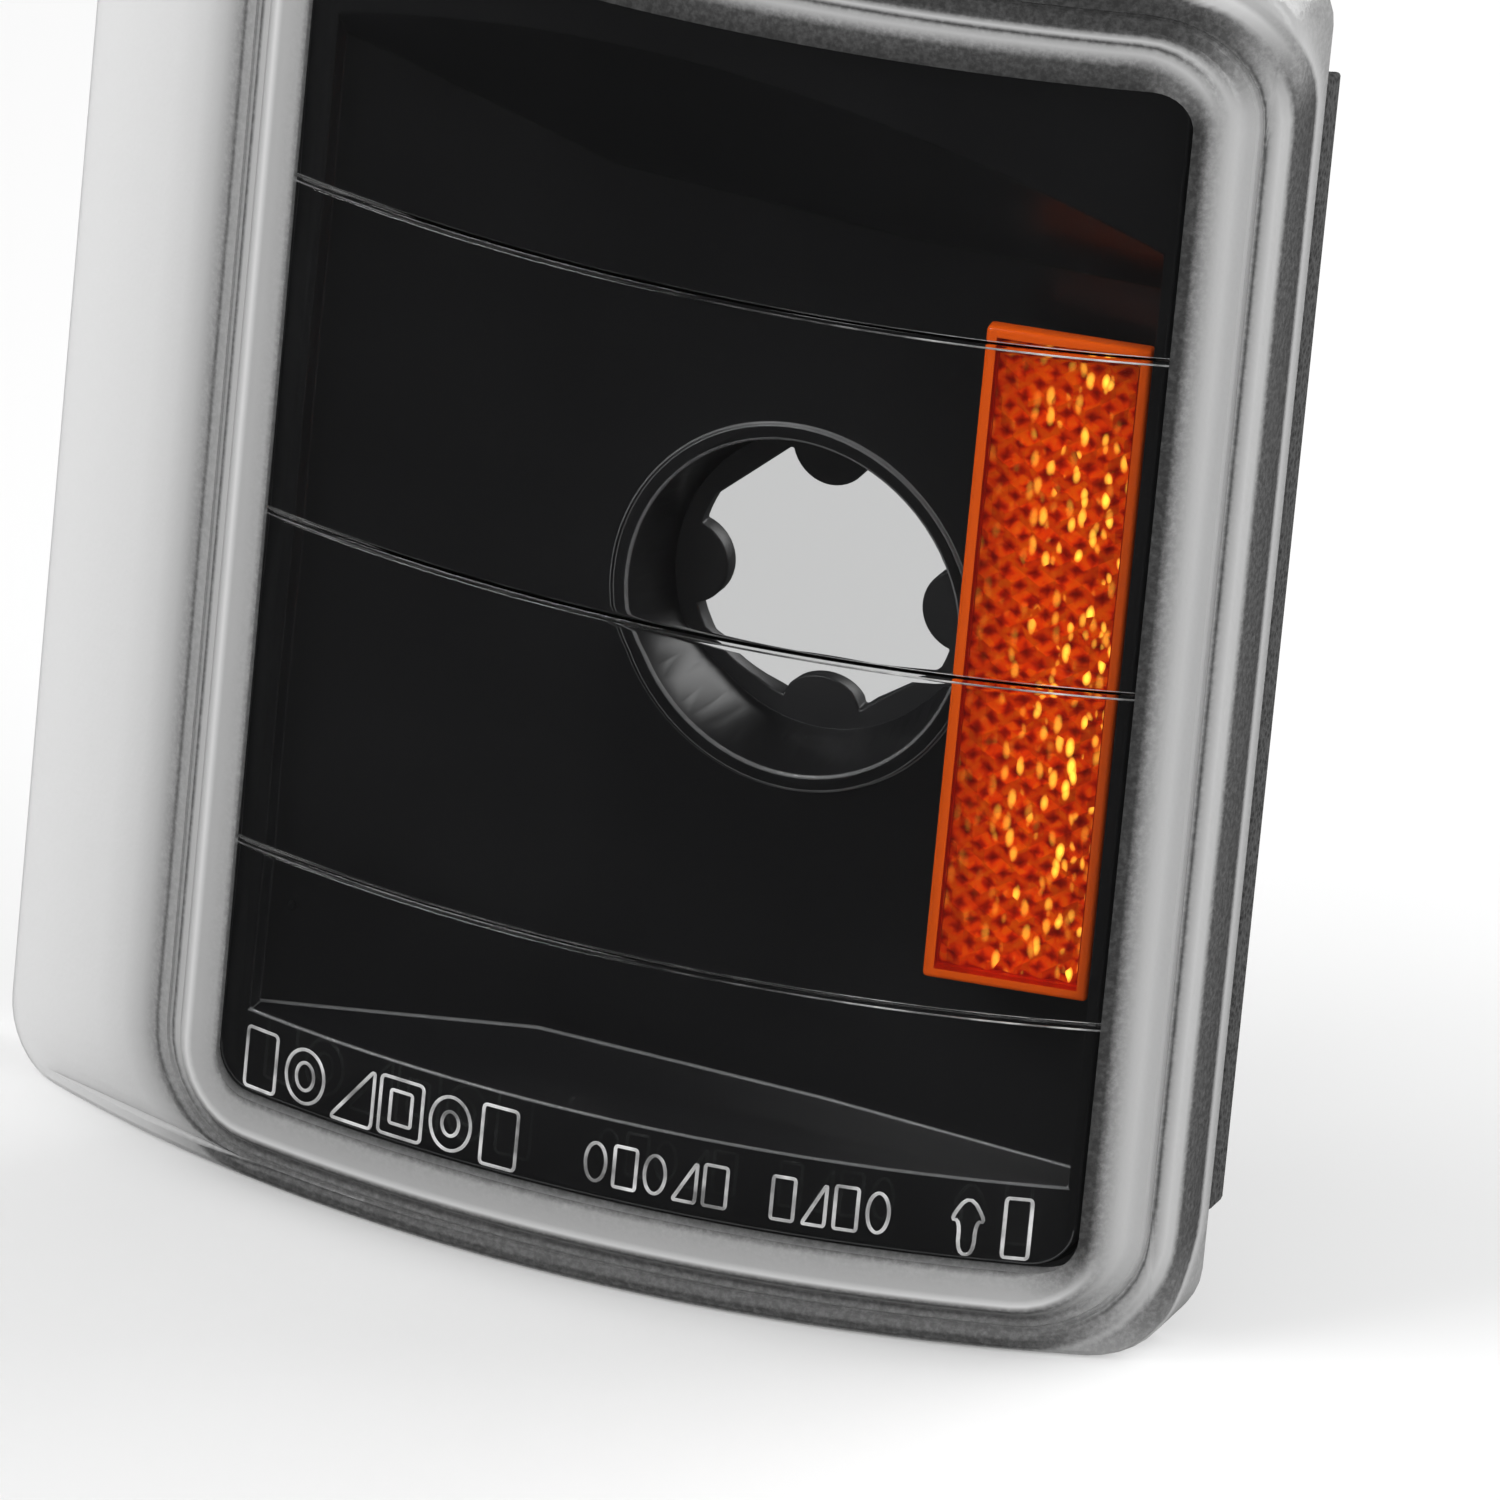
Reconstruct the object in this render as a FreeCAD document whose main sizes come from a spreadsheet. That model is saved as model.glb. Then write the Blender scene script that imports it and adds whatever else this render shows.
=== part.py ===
"""Corner marker lamp for the side of a car's headlight, left-hand side.

Frame: +Z up, -Y towards the front of the lamp, +X to the right seen from the front.
The origin is midway between the two mounting studs, on the back face of the housing.
Every length is in millimetres and every driving length is a cell of the sheet below.
"""
import FreeCAD, Part
import math
import os

import Sketcher

DOC = FreeCAD.newDocument("corner_lamp")
X_AXIS = FreeCAD.Vector(1, 0, 0)
Y_AXIS = FreeCAD.Vector(0, 1, 0)
Z_AXIS = FreeCAD.Vector(0, 0, 1)

# ---------------------------------------------------------------- driving sizes
SIZES = {
    # clear lens: one arc in plan, about a vertical axis behind the lamp
    "lens_radius": 131.0,
    "lens_wall": 2.5,
    "outer_left": 65.7,
    "outer_right": 61.7,
    "half_height": 73.5,
    "outer_corner": 7.0,
    # rounded window frame on the lens, where it steps down to its flange
    "border_left": 24.7,
    "border_right": 5.7,
    "border_top_extra": 1.8,
    "frame_corner": 8.0,
    "frame_step": 1.8,
    "frame_wall_out": 1.4,
    "skirt_depth": 8.0,
    "skirt_wall": 2.2,
    "skirt_gap": 0.5,
    "flute_height": 35.5,
    "flute_centre": 2.7,
    "flute_land": 1.0,
    "flute_rise": 0.5,
    # tongue of the lens in the channel of the housing
    "tongue_half": 1.0,
    "tongue_depth": 5.0,
    "channel_gap": 0.3,
    "channel_wall": 1.6,
    "channel_floor": 2.0,
    "rim_gap": 0.4,
    "seal_depth": 1.2,
    # housing
    "housing_wall": 2.2,
    "port_inset": 41.5,
    "port_drop": 4.1,
    "port_radius": 14.0,
    "port_flat_cut": 0.9,
    "port_flat_angle": 132.0,
    "lobe_radius": 4.2,
    "lobe_step": 0.5,
    "lobe_turn": 3.0,
    "collar_step": 3.0,
    "collar_wall": 2.2,
    "collar_depth": 5.0,
    "stud_inset": 25.5,
    "stud_radius": 3.0,
    "stud_neck": 0.6,
    "stud_reach": 20.0,
    "stud_hole_gap": 0.15,
    "stud_head_radius": 5.8,
    "stud_head_depth": 2.6,
    "stud_seal_radius": 5.4,
    "stud_seal_depth": 0.9,
    "vent_inset_x": 18.0,
    "vent_inset_z": 35.5,
    "vent_radius": 2.4,
    "spigot_wall": 1.4,
    "spigot_depth": 6.0,
    "vent_cap_wall": 1.6,
    "vent_cap_depth": 7.4,
    "membrane_depth": 0.4,
    "locator_inset": 11.0,
    "locator_radius": 4.0,
    "locator_reach": 13.0,
    "grommet_radius": 6.5,
    "grommet_depth": 6.0,
    "grommet_flange_radius": 9.0,
    "grommet_flange_depth": 1.5,
    # black liner
    "liner_wall": 1.8,
    "liner_gap": 0.8,
    "liner_side_gap": 0.4,
    "liner_lip_depth": 7.0,
    "well_depth": 19.2,
    "well_inset_left": 7.0,
    "well_inset_right": 5.0,
    "well_left_depth": 3.1,
    "well_right_depth": 5.4,
    "fold_left_step": 22.6,
    "fold_right_step": 8.3,
    "fold_right_drop": 0.5,
    "floor_height": 12.6,
    "ceiling_drop": 5.0,
    "ceiling_slope": 50.0,
    "tube_depth": 8.0,
    "tube_front_step": 3.6,
    "tube_back_step": 1.6,
    "tube_wall": 1.6,
    "tube_gap": 0.3,
    "boss_radius": 3.6,
    "screw_inset_z": 18.5,
    "screw_inset_left": 10.0,
    "screw_inset_right": 11.0,
    "screw_radius": 1.5,
    "screw_pilot_gap": 0.05,
    "screw_hole_gap": 0.3,
    "screw_reach": 6.5,
    "screw_head_radius": 3.3,
    "screw_head_depth": 2.0,
    "screw_seal_radius": 3.6,
    "screw_seal_depth": 0.8,
    # amber reflex reflector behind the right end of the lens
    "reflex_inset": 13.4,
    "reflex_turn": 11.0,
    "reflex_drop": 1.0,
    "reflex_width": 16.5,
    "reflex_margin": 38.75,
    "reflex_depth": 2.2,
    "reflex_gap": 3.4,
    "reflex_backing_depth": 0.8,
    "reflex_border": 1.2,
    "reflex_tape_depth": 0.4,
    "pedestal_border": 2.6,
    # foam strips on the back edge of the lens skirt
    "foam_depth": 3.0,
    "foam_end_gap": 6.0,
}

sheet = DOC.addObject("Spreadsheet::Sheet", "Sizes")
for row, (alias, size) in enumerate(SIZES.items(), start=1):
    sheet.set("A%d" % row, alias)
    sheet.set("B%d" % row, "%g" % size)
    sheet.setAlias("B%d" % row, alias)
DOC.recompute()


# ---------------------------------------------------------------- sums of sizes
# A place or length is written as a sum of sheet names, such as "lens_radius -lens_wall".
def terms(text):
    """List the (sign, alias) pairs of a sum of sizes."""
    return [(-1 if word[0] == "-" else 1, word.lstrip("+-")) for word in text.split()]


def value(text):
    """Number that a sum of sizes comes to."""
    return sum(sign * sheet.get(alias) for sign, alias in terms(text))


def formula(text):
    """Sheet expression for a sum of sizes."""
    return "0 " + " ".join(("-" if sign < 0 else "+") + " Sizes." + alias for sign, alias in terms(text))


def negative(text):
    """Same sum with every sign turned round."""
    return " ".join(("+" if sign < 0 else "-") + alias for sign, alias in terms(text))


# Depths along Y, counted from the back face of the housing.
PLATE_FRONT = "-housing_wall"
TUBE_BACK = "-housing_wall -tube_gap"
WELL_BACK = "-housing_wall -tube_gap -tube_depth"
LENS_FRONT = WELL_BACK + " -well_depth"
ARC_AXIS = LENS_FRONT + " +lens_radius"

# Radii of the curved layers, from the front of the lens inwards.
LENS_INNER = "lens_radius -lens_wall"
FLANGE_OUTER = "lens_radius -frame_step"
FLANGE_INNER = FLANGE_OUTER + " -lens_wall"
TONGUE_TIP = FLANGE_INNER + " -tongue_depth"
SEAL_BACK = TONGUE_TIP + " -seal_depth"
CHANNEL_BACK = SEAL_BACK + " -channel_floor"
HOUSING_RIM = FLANGE_INNER + " -rim_gap"
SKIRT_BACK = FLANGE_OUTER + " -skirt_depth"
LINER_RIM = LENS_INNER + " -liner_gap"
FOAM_BACK = SKIRT_BACK + " -foam_depth"

# Offsets from the window frame: plus is outwards.
CHANNEL_IN = "-tongue_half -channel_gap"
CHANNEL_OUT = "tongue_half +channel_gap"
CHANNEL_RIM = CHANNEL_OUT + " +channel_wall"
HOUSING_IN = CHANNEL_IN + " -housing_wall"
LINER_OUT = HOUSING_IN + " -liner_side_gap"

# Outlines in the front view: how far each side lies from the middle, and the corner radius.
FRAME_LEFT = "outer_left -border_left"
FRAME_RIGHT = "outer_right -border_right"
FRAME_BOTTOM = "half_height -skirt_wall -skirt_gap " + negative(CHANNEL_RIM)
FRAME_TOP = FRAME_BOTTOM + " -border_top_extra"
OUTLINES = {
    "outer": {"left": "outer_left", "right": "outer_right", "bottom": "half_height", "top": "half_height",
              "corner": "outer_corner"},
    "frame": {"left": FRAME_LEFT, "right": FRAME_RIGHT, "bottom": FRAME_BOTTOM, "top": FRAME_TOP,
              "corner": "frame_corner"},
}

# Places in the front view, as (x, z).
SCREW_LEFT = negative(FRAME_LEFT) + " +screw_inset_left"
SCREW_RIGHT = FRAME_RIGHT + " -screw_inset_right"
SCREW_TOP = "half_height -screw_inset_z"
VENT_TOP = "half_height -vent_inset_z"
STUD_TOP = "half_height -stud_inset"
PORT_X = FRAME_RIGHT + " -port_inset"
PORT_PLACE = (PORT_X, "-port_drop")
STUD_PLACES = [("", STUD_TOP), ("", negative(STUD_TOP))]
SCREW_PLACES = [(x, z) for x in (SCREW_LEFT, SCREW_RIGHT) for z in (SCREW_TOP, negative(SCREW_TOP))]
VENT_PLACES = [(FRAME_RIGHT + " -vent_inset_x", VENT_TOP), (SCREW_LEFT, negative(VENT_TOP))]
LOCATOR_PLACE = (negative(FRAME_LEFT) + " +locator_inset", "")

# Radii of the bulb port's collar and of the flared tube in front of it.
COLLAR_RADIUS = "port_radius +collar_step"
TUBE_FRONT_RADIUS = "port_radius +tube_front_step"
TUBE_BACK_RADIUS = "port_radius +tube_back_step"
STUD_HOLE_RADIUS = "stud_radius +stud_neck +stud_hole_gap"


# ---------------------------------------------------------------- shape helpers
def bind(item, **links):
    """Tie properties to sums of sizes; x, y and z are the place of the item."""
    for name, text in links.items():
        path = "Placement.Base." + name if name in ("x", "y", "z") else name
        item.setExpression(path, formula(text))
    return item


def rounded_sketch(name, base, offset):
    """Rounded rectangle in the XZ plane, the named base outline moved out by offset."""
    reach = {side: text + " " + offset for side, text in OUTLINES[base].items()}
    corner = reach["corner"]
    left, right, bottom, top, radius = (value(text) for text in reach.values())
    sketch = DOC.addObject("Sketcher::SketchObject", name)
    sketch.Placement = FreeCAD.Placement(FreeCAD.Vector(), FreeCAD.Rotation(X_AXIS, 90))
    corners = [(right, -bottom), (right, top), (-left, top), (-left, -bottom)]
    inward = [(-1, 1), (-1, -1), (1, -1), (1, 1)]
    for index in range(4):
        (x1, z1), (sx, sz) = corners[index], inward[index]
        centre = FreeCAD.Vector(x1 + sx * radius, z1 + sz * radius, 0)
        start = (index - 1) * math.pi / 2
        sketch.addGeometry(Part.ArcOfCircle(Part.Circle(centre, Z_AXIS, radius), start, start + math.pi / 2))
    for index in range(4):
        begin = sketch.getPoint(index, 2)
        end = sketch.getPoint((index + 1) % 4, 1)
        sketch.addGeometry(Part.LineSegment(begin, end))
    for index in range(4):
        sketch.addConstraint(Sketcher.Constraint("Tangent", index, 2, 4 + index, 1))
        sketch.addConstraint(Sketcher.Constraint("Tangent", 4 + index, 2, (index + 1) % 4, 1))
        level = "Vertical" if index % 2 == 0 else "Horizontal"
        sketch.addConstraint(Sketcher.Constraint(level, 4 + index))
    for index in range(1, 4):
        sketch.addConstraint(Sketcher.Constraint("Equal", 0, index))
    drivers = [
        ("corner", corner, Sketcher.Constraint("Radius", 0, radius)),
        ("right", reach["right"], Sketcher.Constraint("DistanceX", -1, 1, 4, 1, right)),
        ("top", reach["top"], Sketcher.Constraint("DistanceY", -1, 1, 5, 1, top)),
        ("left", reach["left"], Sketcher.Constraint("DistanceX", 6, 1, -1, 1, left)),
        ("bottom", reach["bottom"], Sketcher.Constraint("DistanceY", 7, 1, -1, 1, bottom)),
    ]
    for label, text, constraint in drivers:
        number = sketch.addConstraint(constraint)
        sketch.renameConstraint(number, label)
        sketch.setExpression("Constraints." + label, formula(text))
    return sketch


def slab(name, base, offset, front="-lens_radius", back="lens_radius"):
    """Rounded prism along Y over the base outline, from front to back."""
    sketch = rounded_sketch(name + "_outline", base, offset)
    sketch.setExpression("Placement.Base.y", formula(front))
    solid = DOC.addObject("Part::Extrusion", name)
    solid.Base = sketch
    solid.DirMode = "Custom"
    solid.Dir = Y_AXIS
    solid.Solid = True
    solid.setExpression("LengthFwd", formula(back + " " + negative(front)))
    return solid


def cut(name, base, tool):
    """Base without the tool."""
    result = DOC.addObject("Part::Cut", name)
    result.Base = base
    result.Tool = tool
    return result


def common(name, *shapes):
    """What all the shapes share."""
    result = DOC.addObject("Part::MultiCommon", name)
    result.Shapes = list(shapes)
    return result


def fuse(name, *shapes):
    """All the shapes joined in one solid."""
    result = DOC.addObject("Part::MultiFuse", name)
    result.Shapes = list(shapes)
    result.Refine = True
    return result


def group(name, *shapes):
    """Equal pieces kept apart, in one node."""
    result = DOC.addObject("Part::Compound", name)
    result.Links = list(shapes)
    return result


def block(name, low, high):
    """Box between two corners given as sums of sizes."""
    item = DOC.addObject("Part::Box", name)
    for side, begin, end in zip(("Length", "Width", "Height"), low, high):
        item.setExpression(side, formula(end + " " + negative(begin)))
    return bind(item, x=low[0], y=low[1], z=low[2])


def upright(name, radius):
    """Cylinder about the vertical axis of the lens arc, taller than the lamp."""
    item = DOC.addObject("Part::Cylinder", name)
    item.setExpression("Radius", formula(radius))
    item.setExpression("Height", formula("half_height +half_height +outer_corner +outer_corner"))
    return bind(item, y=ARC_AXIS, z="-half_height -outer_corner")


def layer(name, outer, inner):
    """Curved layer between two radii of the lens arc."""
    return cut(name, upright(name + "_outer", outer), upright(name + "_inner", inner))


def ring_slab(name, base, outer, inner):
    """Rounded ring prism along Y between two offsets of an outline."""
    return cut(name, slab(name + "_outer", base, outer), slab(name + "_inner", base, inner))


def rod(name, radius, place, front, back):
    """Cylinder along Y at place (x, z) from front to back."""
    item = DOC.addObject("Part::Cylinder", name)
    item.Placement = FreeCAD.Placement(FreeCAD.Vector(), FreeCAD.Rotation(X_AXIS, -90))
    item.setExpression("Radius", formula(radius))
    item.setExpression("Height", formula(back + " " + negative(front)))
    return bind(item, x=place[0], y=front, z=place[1])


def taper(name, front_radius, back_radius, place, front, back):
    """Cone along Y at place (x, z)."""
    item = DOC.addObject("Part::Cone", name)
    item.Placement = FreeCAD.Placement(FreeCAD.Vector(), FreeCAD.Rotation(X_AXIS, -90))
    item.setExpression("Radius1", formula(front_radius))
    item.setExpression("Radius2", formula(back_radius))
    item.setExpression("Height", formula(back + " " + negative(front)))
    return bind(item, x=place[0], y=front, z=place[1])


def pipe(name, outer, inner, place, front, back):
    """Tube along Y."""
    return cut(name, rod(name + "_outer", outer, place, front, back),
               rod(name + "_inner", inner, place, front, back))


# ---------------------------------------------------------------- clear lens
def make_lens():
    """Fluted window, stepped flange, tongue for the channel and skirt round the edge."""
    window = common("lens_window", slab("lens_window_area", "frame", "frame_wall_out"),
                    layer("lens_window_layer", "lens_radius", LENS_INNER))
    step = common("lens_step", ring_slab("lens_step_area", "frame", "frame_wall_out", "-tongue_half"),
                  layer("lens_step_layer", "lens_radius", FLANGE_INNER))
    flange_area = cut("lens_flange_area", slab("lens_flange_slab", "outer", ""),
                      slab("lens_flange_hole", "frame", "-tongue_half"))
    flange = common("lens_flange", flange_area, layer("lens_flange_layer", FLANGE_OUTER, FLANGE_INNER))
    tongue = common("lens_tongue", ring_slab("lens_tongue_area", "frame", "tongue_half", "-tongue_half"),
                    layer("lens_tongue_layer", LENS_INNER, TONGUE_TIP))
    skirt = common("lens_skirt", ring_slab("lens_skirt_area", "outer", "", "-skirt_wall"),
                   layer("lens_skirt_layer", FLANGE_OUTER, SKIRT_BACK))
    pieces = [window, step, flange, tongue, skirt]
    flute_area = slab("lens_flute_area", "frame", "-tongue_half")
    for index, height in enumerate(("-flute_height", "", "flute_height")):
        band = block("flute_band_%d" % index,
                     ("-outer_left", "-lens_radius", height + " -flute_centre"),
                     ("outer_right", "lens_radius", height + " -flute_centre +flute_land"))
        ridge = layer("flute_layer_%d" % index, LENS_INNER + " +flute_rise", LENS_INNER + " -flute_rise")
        pieces.append(common("flute_%d" % index, flute_area, band, ridge))
    return fuse("lens", *pieces)


# ---------------------------------------------------------------- rear housing
def make_port():
    """Keyed opening: a circle with two flats and four rounded lobes left standing in it."""
    hole = rod("port_hole", "port_radius", PORT_PLACE, "-housing_wall -housing_wall", "housing_wall")
    centre = FreeCAD.Vector(value(PORT_X), 0, -value("port_drop"))
    reach = value("port_radius -port_flat_cut")
    keys = []
    for index in range(4):
        turn = "(Sizes.lobe_turn + %d) * 1 deg" % (90 * index)
        spread = "(Sizes.port_radius + Sizes.lobe_step)"
        lobe = rod("port_lobe_%d" % index, "lobe_radius", PORT_PLACE, "-collar_depth", "collar_depth")
        lobe.setExpression("Placement.Base.x", "%s + %s * cos(%s)" % (formula(PORT_X), spread, turn))
        lobe.setExpression("Placement.Base.z", "-Sizes.port_drop + %s * sin(%s)" % (spread, turn))
        keys.append(lobe)
    for index, side in enumerate((0, 180)):
        turn = FreeCAD.Rotation(Y_AXIS, -value("port_flat_angle") - side)
        corner = FreeCAD.Vector(reach, -value("collar_depth"), -value("port_radius"))
        flat = DOC.addObject("Part::Box", "port_flat_%d" % index)
        flat.setExpression("Length", formula("port_radius"))
        flat.setExpression("Width", formula("collar_depth +collar_depth"))
        flat.setExpression("Height", formula("port_radius +port_radius"))
        flat.Placement = FreeCAD.Placement(centre + turn.multVec(corner), turn)
        keys.append(flat)
    return cut("port_opening", hole, fuse("port_keys", *keys))


def make_housing():
    """Tray with a channel round its rim, keyed bulb port, collar, spigots and locator pin."""
    walls = common("housing_walls", ring_slab("housing_wall_area", "frame", CHANNEL_IN, HOUSING_IN),
                   upright("housing_wall_reach", HOUSING_RIM),
                   block("housing_wall_depth", ("-outer_left", "-lens_radius", "-half_height"),
                         ("outer_right", "", "half_height")))
    channel = common("channel_wall", ring_slab("channel_wall_area", "frame", CHANNEL_IN, HOUSING_IN),
                     layer("channel_wall_layer", HOUSING_RIM, CHANNEL_BACK))
    floor = common("channel_floor_ring", ring_slab("channel_floor_area", "frame", CHANNEL_RIM, HOUSING_IN),
                   layer("channel_floor_layer", SEAL_BACK, CHANNEL_BACK))
    rim = common("channel_rim", ring_slab("channel_rim_area", "frame", CHANNEL_RIM, CHANNEL_OUT),
                 layer("channel_rim_layer", HOUSING_RIM, CHANNEL_BACK))
    back = slab("housing_back", "frame", CHANNEL_IN, PLATE_FRONT, "")
    pieces = [walls, channel, floor, rim, back]
    pieces.append(pipe("port_collar", COLLAR_RADIUS + " +collar_wall", COLLAR_RADIUS, PORT_PLACE,
                       PLATE_FRONT, "collar_depth"))
    for index, place in enumerate(VENT_PLACES):
        pieces.append(rod("vent_spigot_%d" % index, "vent_radius +spigot_wall", place,
                          PLATE_FRONT, "spigot_depth"))
    pieces.append(rod("locator_pin", "locator_radius", LOCATOR_PLACE, PLATE_FRONT, "locator_reach"))
    holes = [make_port()]
    for index, place in enumerate(STUD_PLACES):
        holes.append(rod("stud_hole_%d" % index, STUD_HOLE_RADIUS, place,
                         "-housing_wall -housing_wall", "housing_wall"))
    for index, place in enumerate(SCREW_PLACES):
        holes.append(rod("screw_hole_%d" % index, "screw_radius +screw_hole_gap", place,
                         "-housing_wall -housing_wall", "housing_wall"))
    for index, place in enumerate(VENT_PLACES):
        holes.append(rod("vent_hole_%d" % index, "vent_radius", place,
                         "-housing_wall -housing_wall", "spigot_depth +housing_wall"))
    shell = cut("housing_shell", fuse("housing_solid", *pieces), fuse("housing_holes", *holes))
    # the collar stands on the plate, so the plate closes it but for the keyed opening
    plate = rod("port_plate", COLLAR_RADIUS + " +collar_wall", PORT_PLACE, PLATE_FRONT, "")
    keyed = cut("port_keyed_plate", plate, DOC.getObject("port_opening"))
    return fuse("rear_housing", shell, keyed)


# ---------------------------------------------------------------- black liner
def behind_lens(x, depth):
    """Y of a point at x, a depth behind the inner surface of the lens."""
    return value(ARC_AXIS) - math.sqrt(value(LENS_INNER) ** 2 - x * x) + depth


def well_plan(offset):
    """Plan of the folded well: three upright facets behind the window, open to the front."""
    front, back = -value("lens_radius"), value(WELL_BACK) + offset
    left = -value(FRAME_LEFT + " -well_inset_left")
    right = value(FRAME_RIGHT + " -well_inset_right")
    outline = [
        (left - offset, front),
        (left - offset, behind_lens(left, value("well_left_depth")) + offset),
        (value(PORT_X + " -fold_left_step"), back),
        (value(PORT_X + " +fold_right_step"), back + value("fold_right_drop")),
        (right + offset, behind_lens(right, value("well_right_depth")) + offset),
        (right + offset, front),
    ]
    return [FreeCAD.Vector(x, y, -value("half_height")) for x, y in outline]


def well_solid(name, offset):
    """Volume of the well, grown by an offset so that the liner's skin can be cut from it."""
    plan = well_plan(offset)
    prism = Part.Face(Part.makePolygon(plan + plan[:1])).extrude(Z_AXIS * value("half_height +half_height"))
    low = -value(FRAME_BOTTOM + " -floor_height") - offset
    high = value(FRAME_TOP + " -ceiling_drop") + offset
    front, reach = value("lens_radius"), value("outer_left +outer_right")
    run = value("well_depth +tube_depth")
    back_high = high - run * math.tan(math.radians(value("ceiling_slope")))
    side = [(-front, low), (front, low), (front, back_high), (value(LENS_FRONT) + run, back_high),
            (value(LENS_FRONT), high), (-front, high)]
    section = [FreeCAD.Vector(-reach, y, z) for y, z in side]
    cross = Part.Face(Part.makePolygon(section + section[:1])).extrude(X_AXIS * (reach + reach))
    item = DOC.addObject("Part::Feature", name)
    item.Shape = prism.common(cross)
    return item


def reflex_block(name, width, height, front, back):
    """Flat block turned with the reflector, between two depths behind its face."""
    item = DOC.addObject("Part::Box", name)
    place = value(FRAME_RIGHT + " -reflex_inset")
    item.setExpression("Length", formula(width))
    item.setExpression("Width", formula(back + " " + negative(front)))
    item.setExpression("Height", formula(height))
    turn = FreeCAD.Rotation(Z_AXIS, value("reflex_turn"))
    centre = FreeCAD.Vector(place, behind_lens(place, value("reflex_gap")), -value("reflex_drop"))
    corner = FreeCAD.Vector(-value(width) / 2, value(front), -value(height) / 2)
    item.Placement = FreeCAD.Placement(centre + turn.multVec(corner), turn)
    return item


REFLEX_HEIGHT = "half_height +half_height -reflex_margin -reflex_margin"
REFLEX_BACK = "reflex_depth +reflex_backing_depth"
PEDESTAL_FRONT = REFLEX_BACK + " +reflex_tape_depth"


def make_liner():
    """Rim behind the window, folded well with a sloping ceiling, flared bulb tube and screw bosses."""
    outer = well_solid("well_outer", value("liner_wall"))
    inner = well_solid("well_inner", 0)
    reach = upright("liner_reach", LINER_RIM)
    extent = slab("liner_extent", "frame", LINER_OUT, "-lens_radius", TUBE_BACK)
    skin = common("liner_well", cut("liner_skin", outer, inner), reach, extent)
    rim_layer = layer("liner_rim_layer", LINER_RIM, LINER_RIM + " -liner_wall")
    rim_plate = common("liner_rim_plate", rim_layer, extent)
    rim = cut("liner_rim", rim_plate, inner)
    lip = common("liner_lip", ring_slab("liner_lip_area", "frame", LINER_OUT, LINER_OUT + " -liner_wall"),
                 layer("liner_lip_layer", LINER_RIM, LINER_RIM + " -liner_lip_depth"), extent)
    lip_clear = cut("liner_lip_clear", lip, inner)
    tube = taper("tube_outside", TUBE_FRONT_RADIUS + " +tube_wall", TUBE_BACK_RADIUS + " +tube_wall",
                 PORT_PLACE, WELL_BACK, TUBE_BACK)
    inset = " -pedestal_border -pedestal_border"
    pedestal_block = reflex_block("pedestal_block", "reflex_width" + inset, REFLEX_HEIGHT + inset,
                                  PEDESTAL_FRONT, PEDESTAL_FRONT + " +well_depth")
    pedestal = common("reflex_pedestal", pedestal_block, outer)
    pieces = [skin, rim, lip_clear, tube, pedestal]
    for index, place in enumerate(SCREW_PLACES):
        boss = rod("liner_boss_%d" % index, "boss_radius", place, LENS_FRONT, TUBE_BACK)
        boss_clear = cut("liner_boss_clear_%d" % index, boss, inner)
        pieces.append(common("liner_boss_cut_%d" % index, boss_clear, reach, extent))
    flare = taper("tube_inside", TUBE_FRONT_RADIUS, TUBE_BACK_RADIUS, PORT_PLACE, WELL_BACK, TUBE_BACK)
    mouth = rod("tube_mouth", TUBE_FRONT_RADIUS, PORT_PLACE, WELL_BACK + " -liner_wall", WELL_BACK)
    holes = [flare, mouth]
    for index, place in enumerate(SCREW_PLACES):
        holes.append(rod("liner_pilot_%d" % index, "screw_radius +screw_pilot_gap", place,
                         "-screw_reach -screw_pilot_gap", ""))
    return cut("inner_liner", fuse("liner_solid", *pieces), fuse("liner_holes", *holes))


# ---------------------------------------------------------------- seals, reflector and fasteners
def make_seal():
    """Butyl bead on the floor of the channel, under the tip of the tongue."""
    return common("lens_seal", ring_slab("seal_area", "frame", CHANNEL_OUT, CHANNEL_IN),
                  layer("seal_layer", TONGUE_TIP, SEAL_BACK))


def make_reflector():
    """Amber reflector, the plate welded behind it and its adhesive tape."""
    front = reflex_block("reflex_reflector", "reflex_width", REFLEX_HEIGHT, "", "reflex_depth")
    inset = " -reflex_border -reflex_border"
    plate = reflex_block("reflex_backing", "reflex_width" + inset, REFLEX_HEIGHT + inset,
                         "reflex_depth", REFLEX_BACK)
    inset = " -pedestal_border -pedestal_border"
    tape = reflex_block("reflex_tape", "reflex_width" + inset, REFLEX_HEIGHT + inset,
                        REFLEX_BACK, PEDESTAL_FRONT)
    return [front, plate, tape]


def make_studs():
    """Hex-headed studs with a plain neck through the back of the housing, each on a rubber seal."""
    studs, seals = [], []
    for index, place in enumerate(STUD_PLACES):
        head = DOC.addObject("Part::Prism", "stud_head_%d" % index)
        head.Polygon = 6
        head.Placement = FreeCAD.Placement(FreeCAD.Vector(), FreeCAD.Rotation(X_AXIS, -90))
        head.setExpression("Circumradius", "Sizes.stud_head_radius")
        head.setExpression("Height", "Sizes.stud_head_depth")
        bind(head, y="-housing_wall -stud_seal_depth -stud_head_depth", z=place[1])
        neck = rod("stud_neck_%d" % index, "stud_radius +stud_neck", place,
                   "-housing_wall -stud_seal_depth", "")
        shank = rod("stud_shank_%d" % index, "stud_radius", place, "", "stud_reach")
        studs.append(fuse("stud_%d" % index, head, neck, shank))
        seals.append(pipe("stud_seal_%d" % index, "stud_seal_radius", STUD_HOLE_RADIUS, place,
                          "-housing_wall -stud_seal_depth", PLATE_FRONT))
    return [group("mounting_studs", *studs), group("stud_seals", *seals)]


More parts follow.
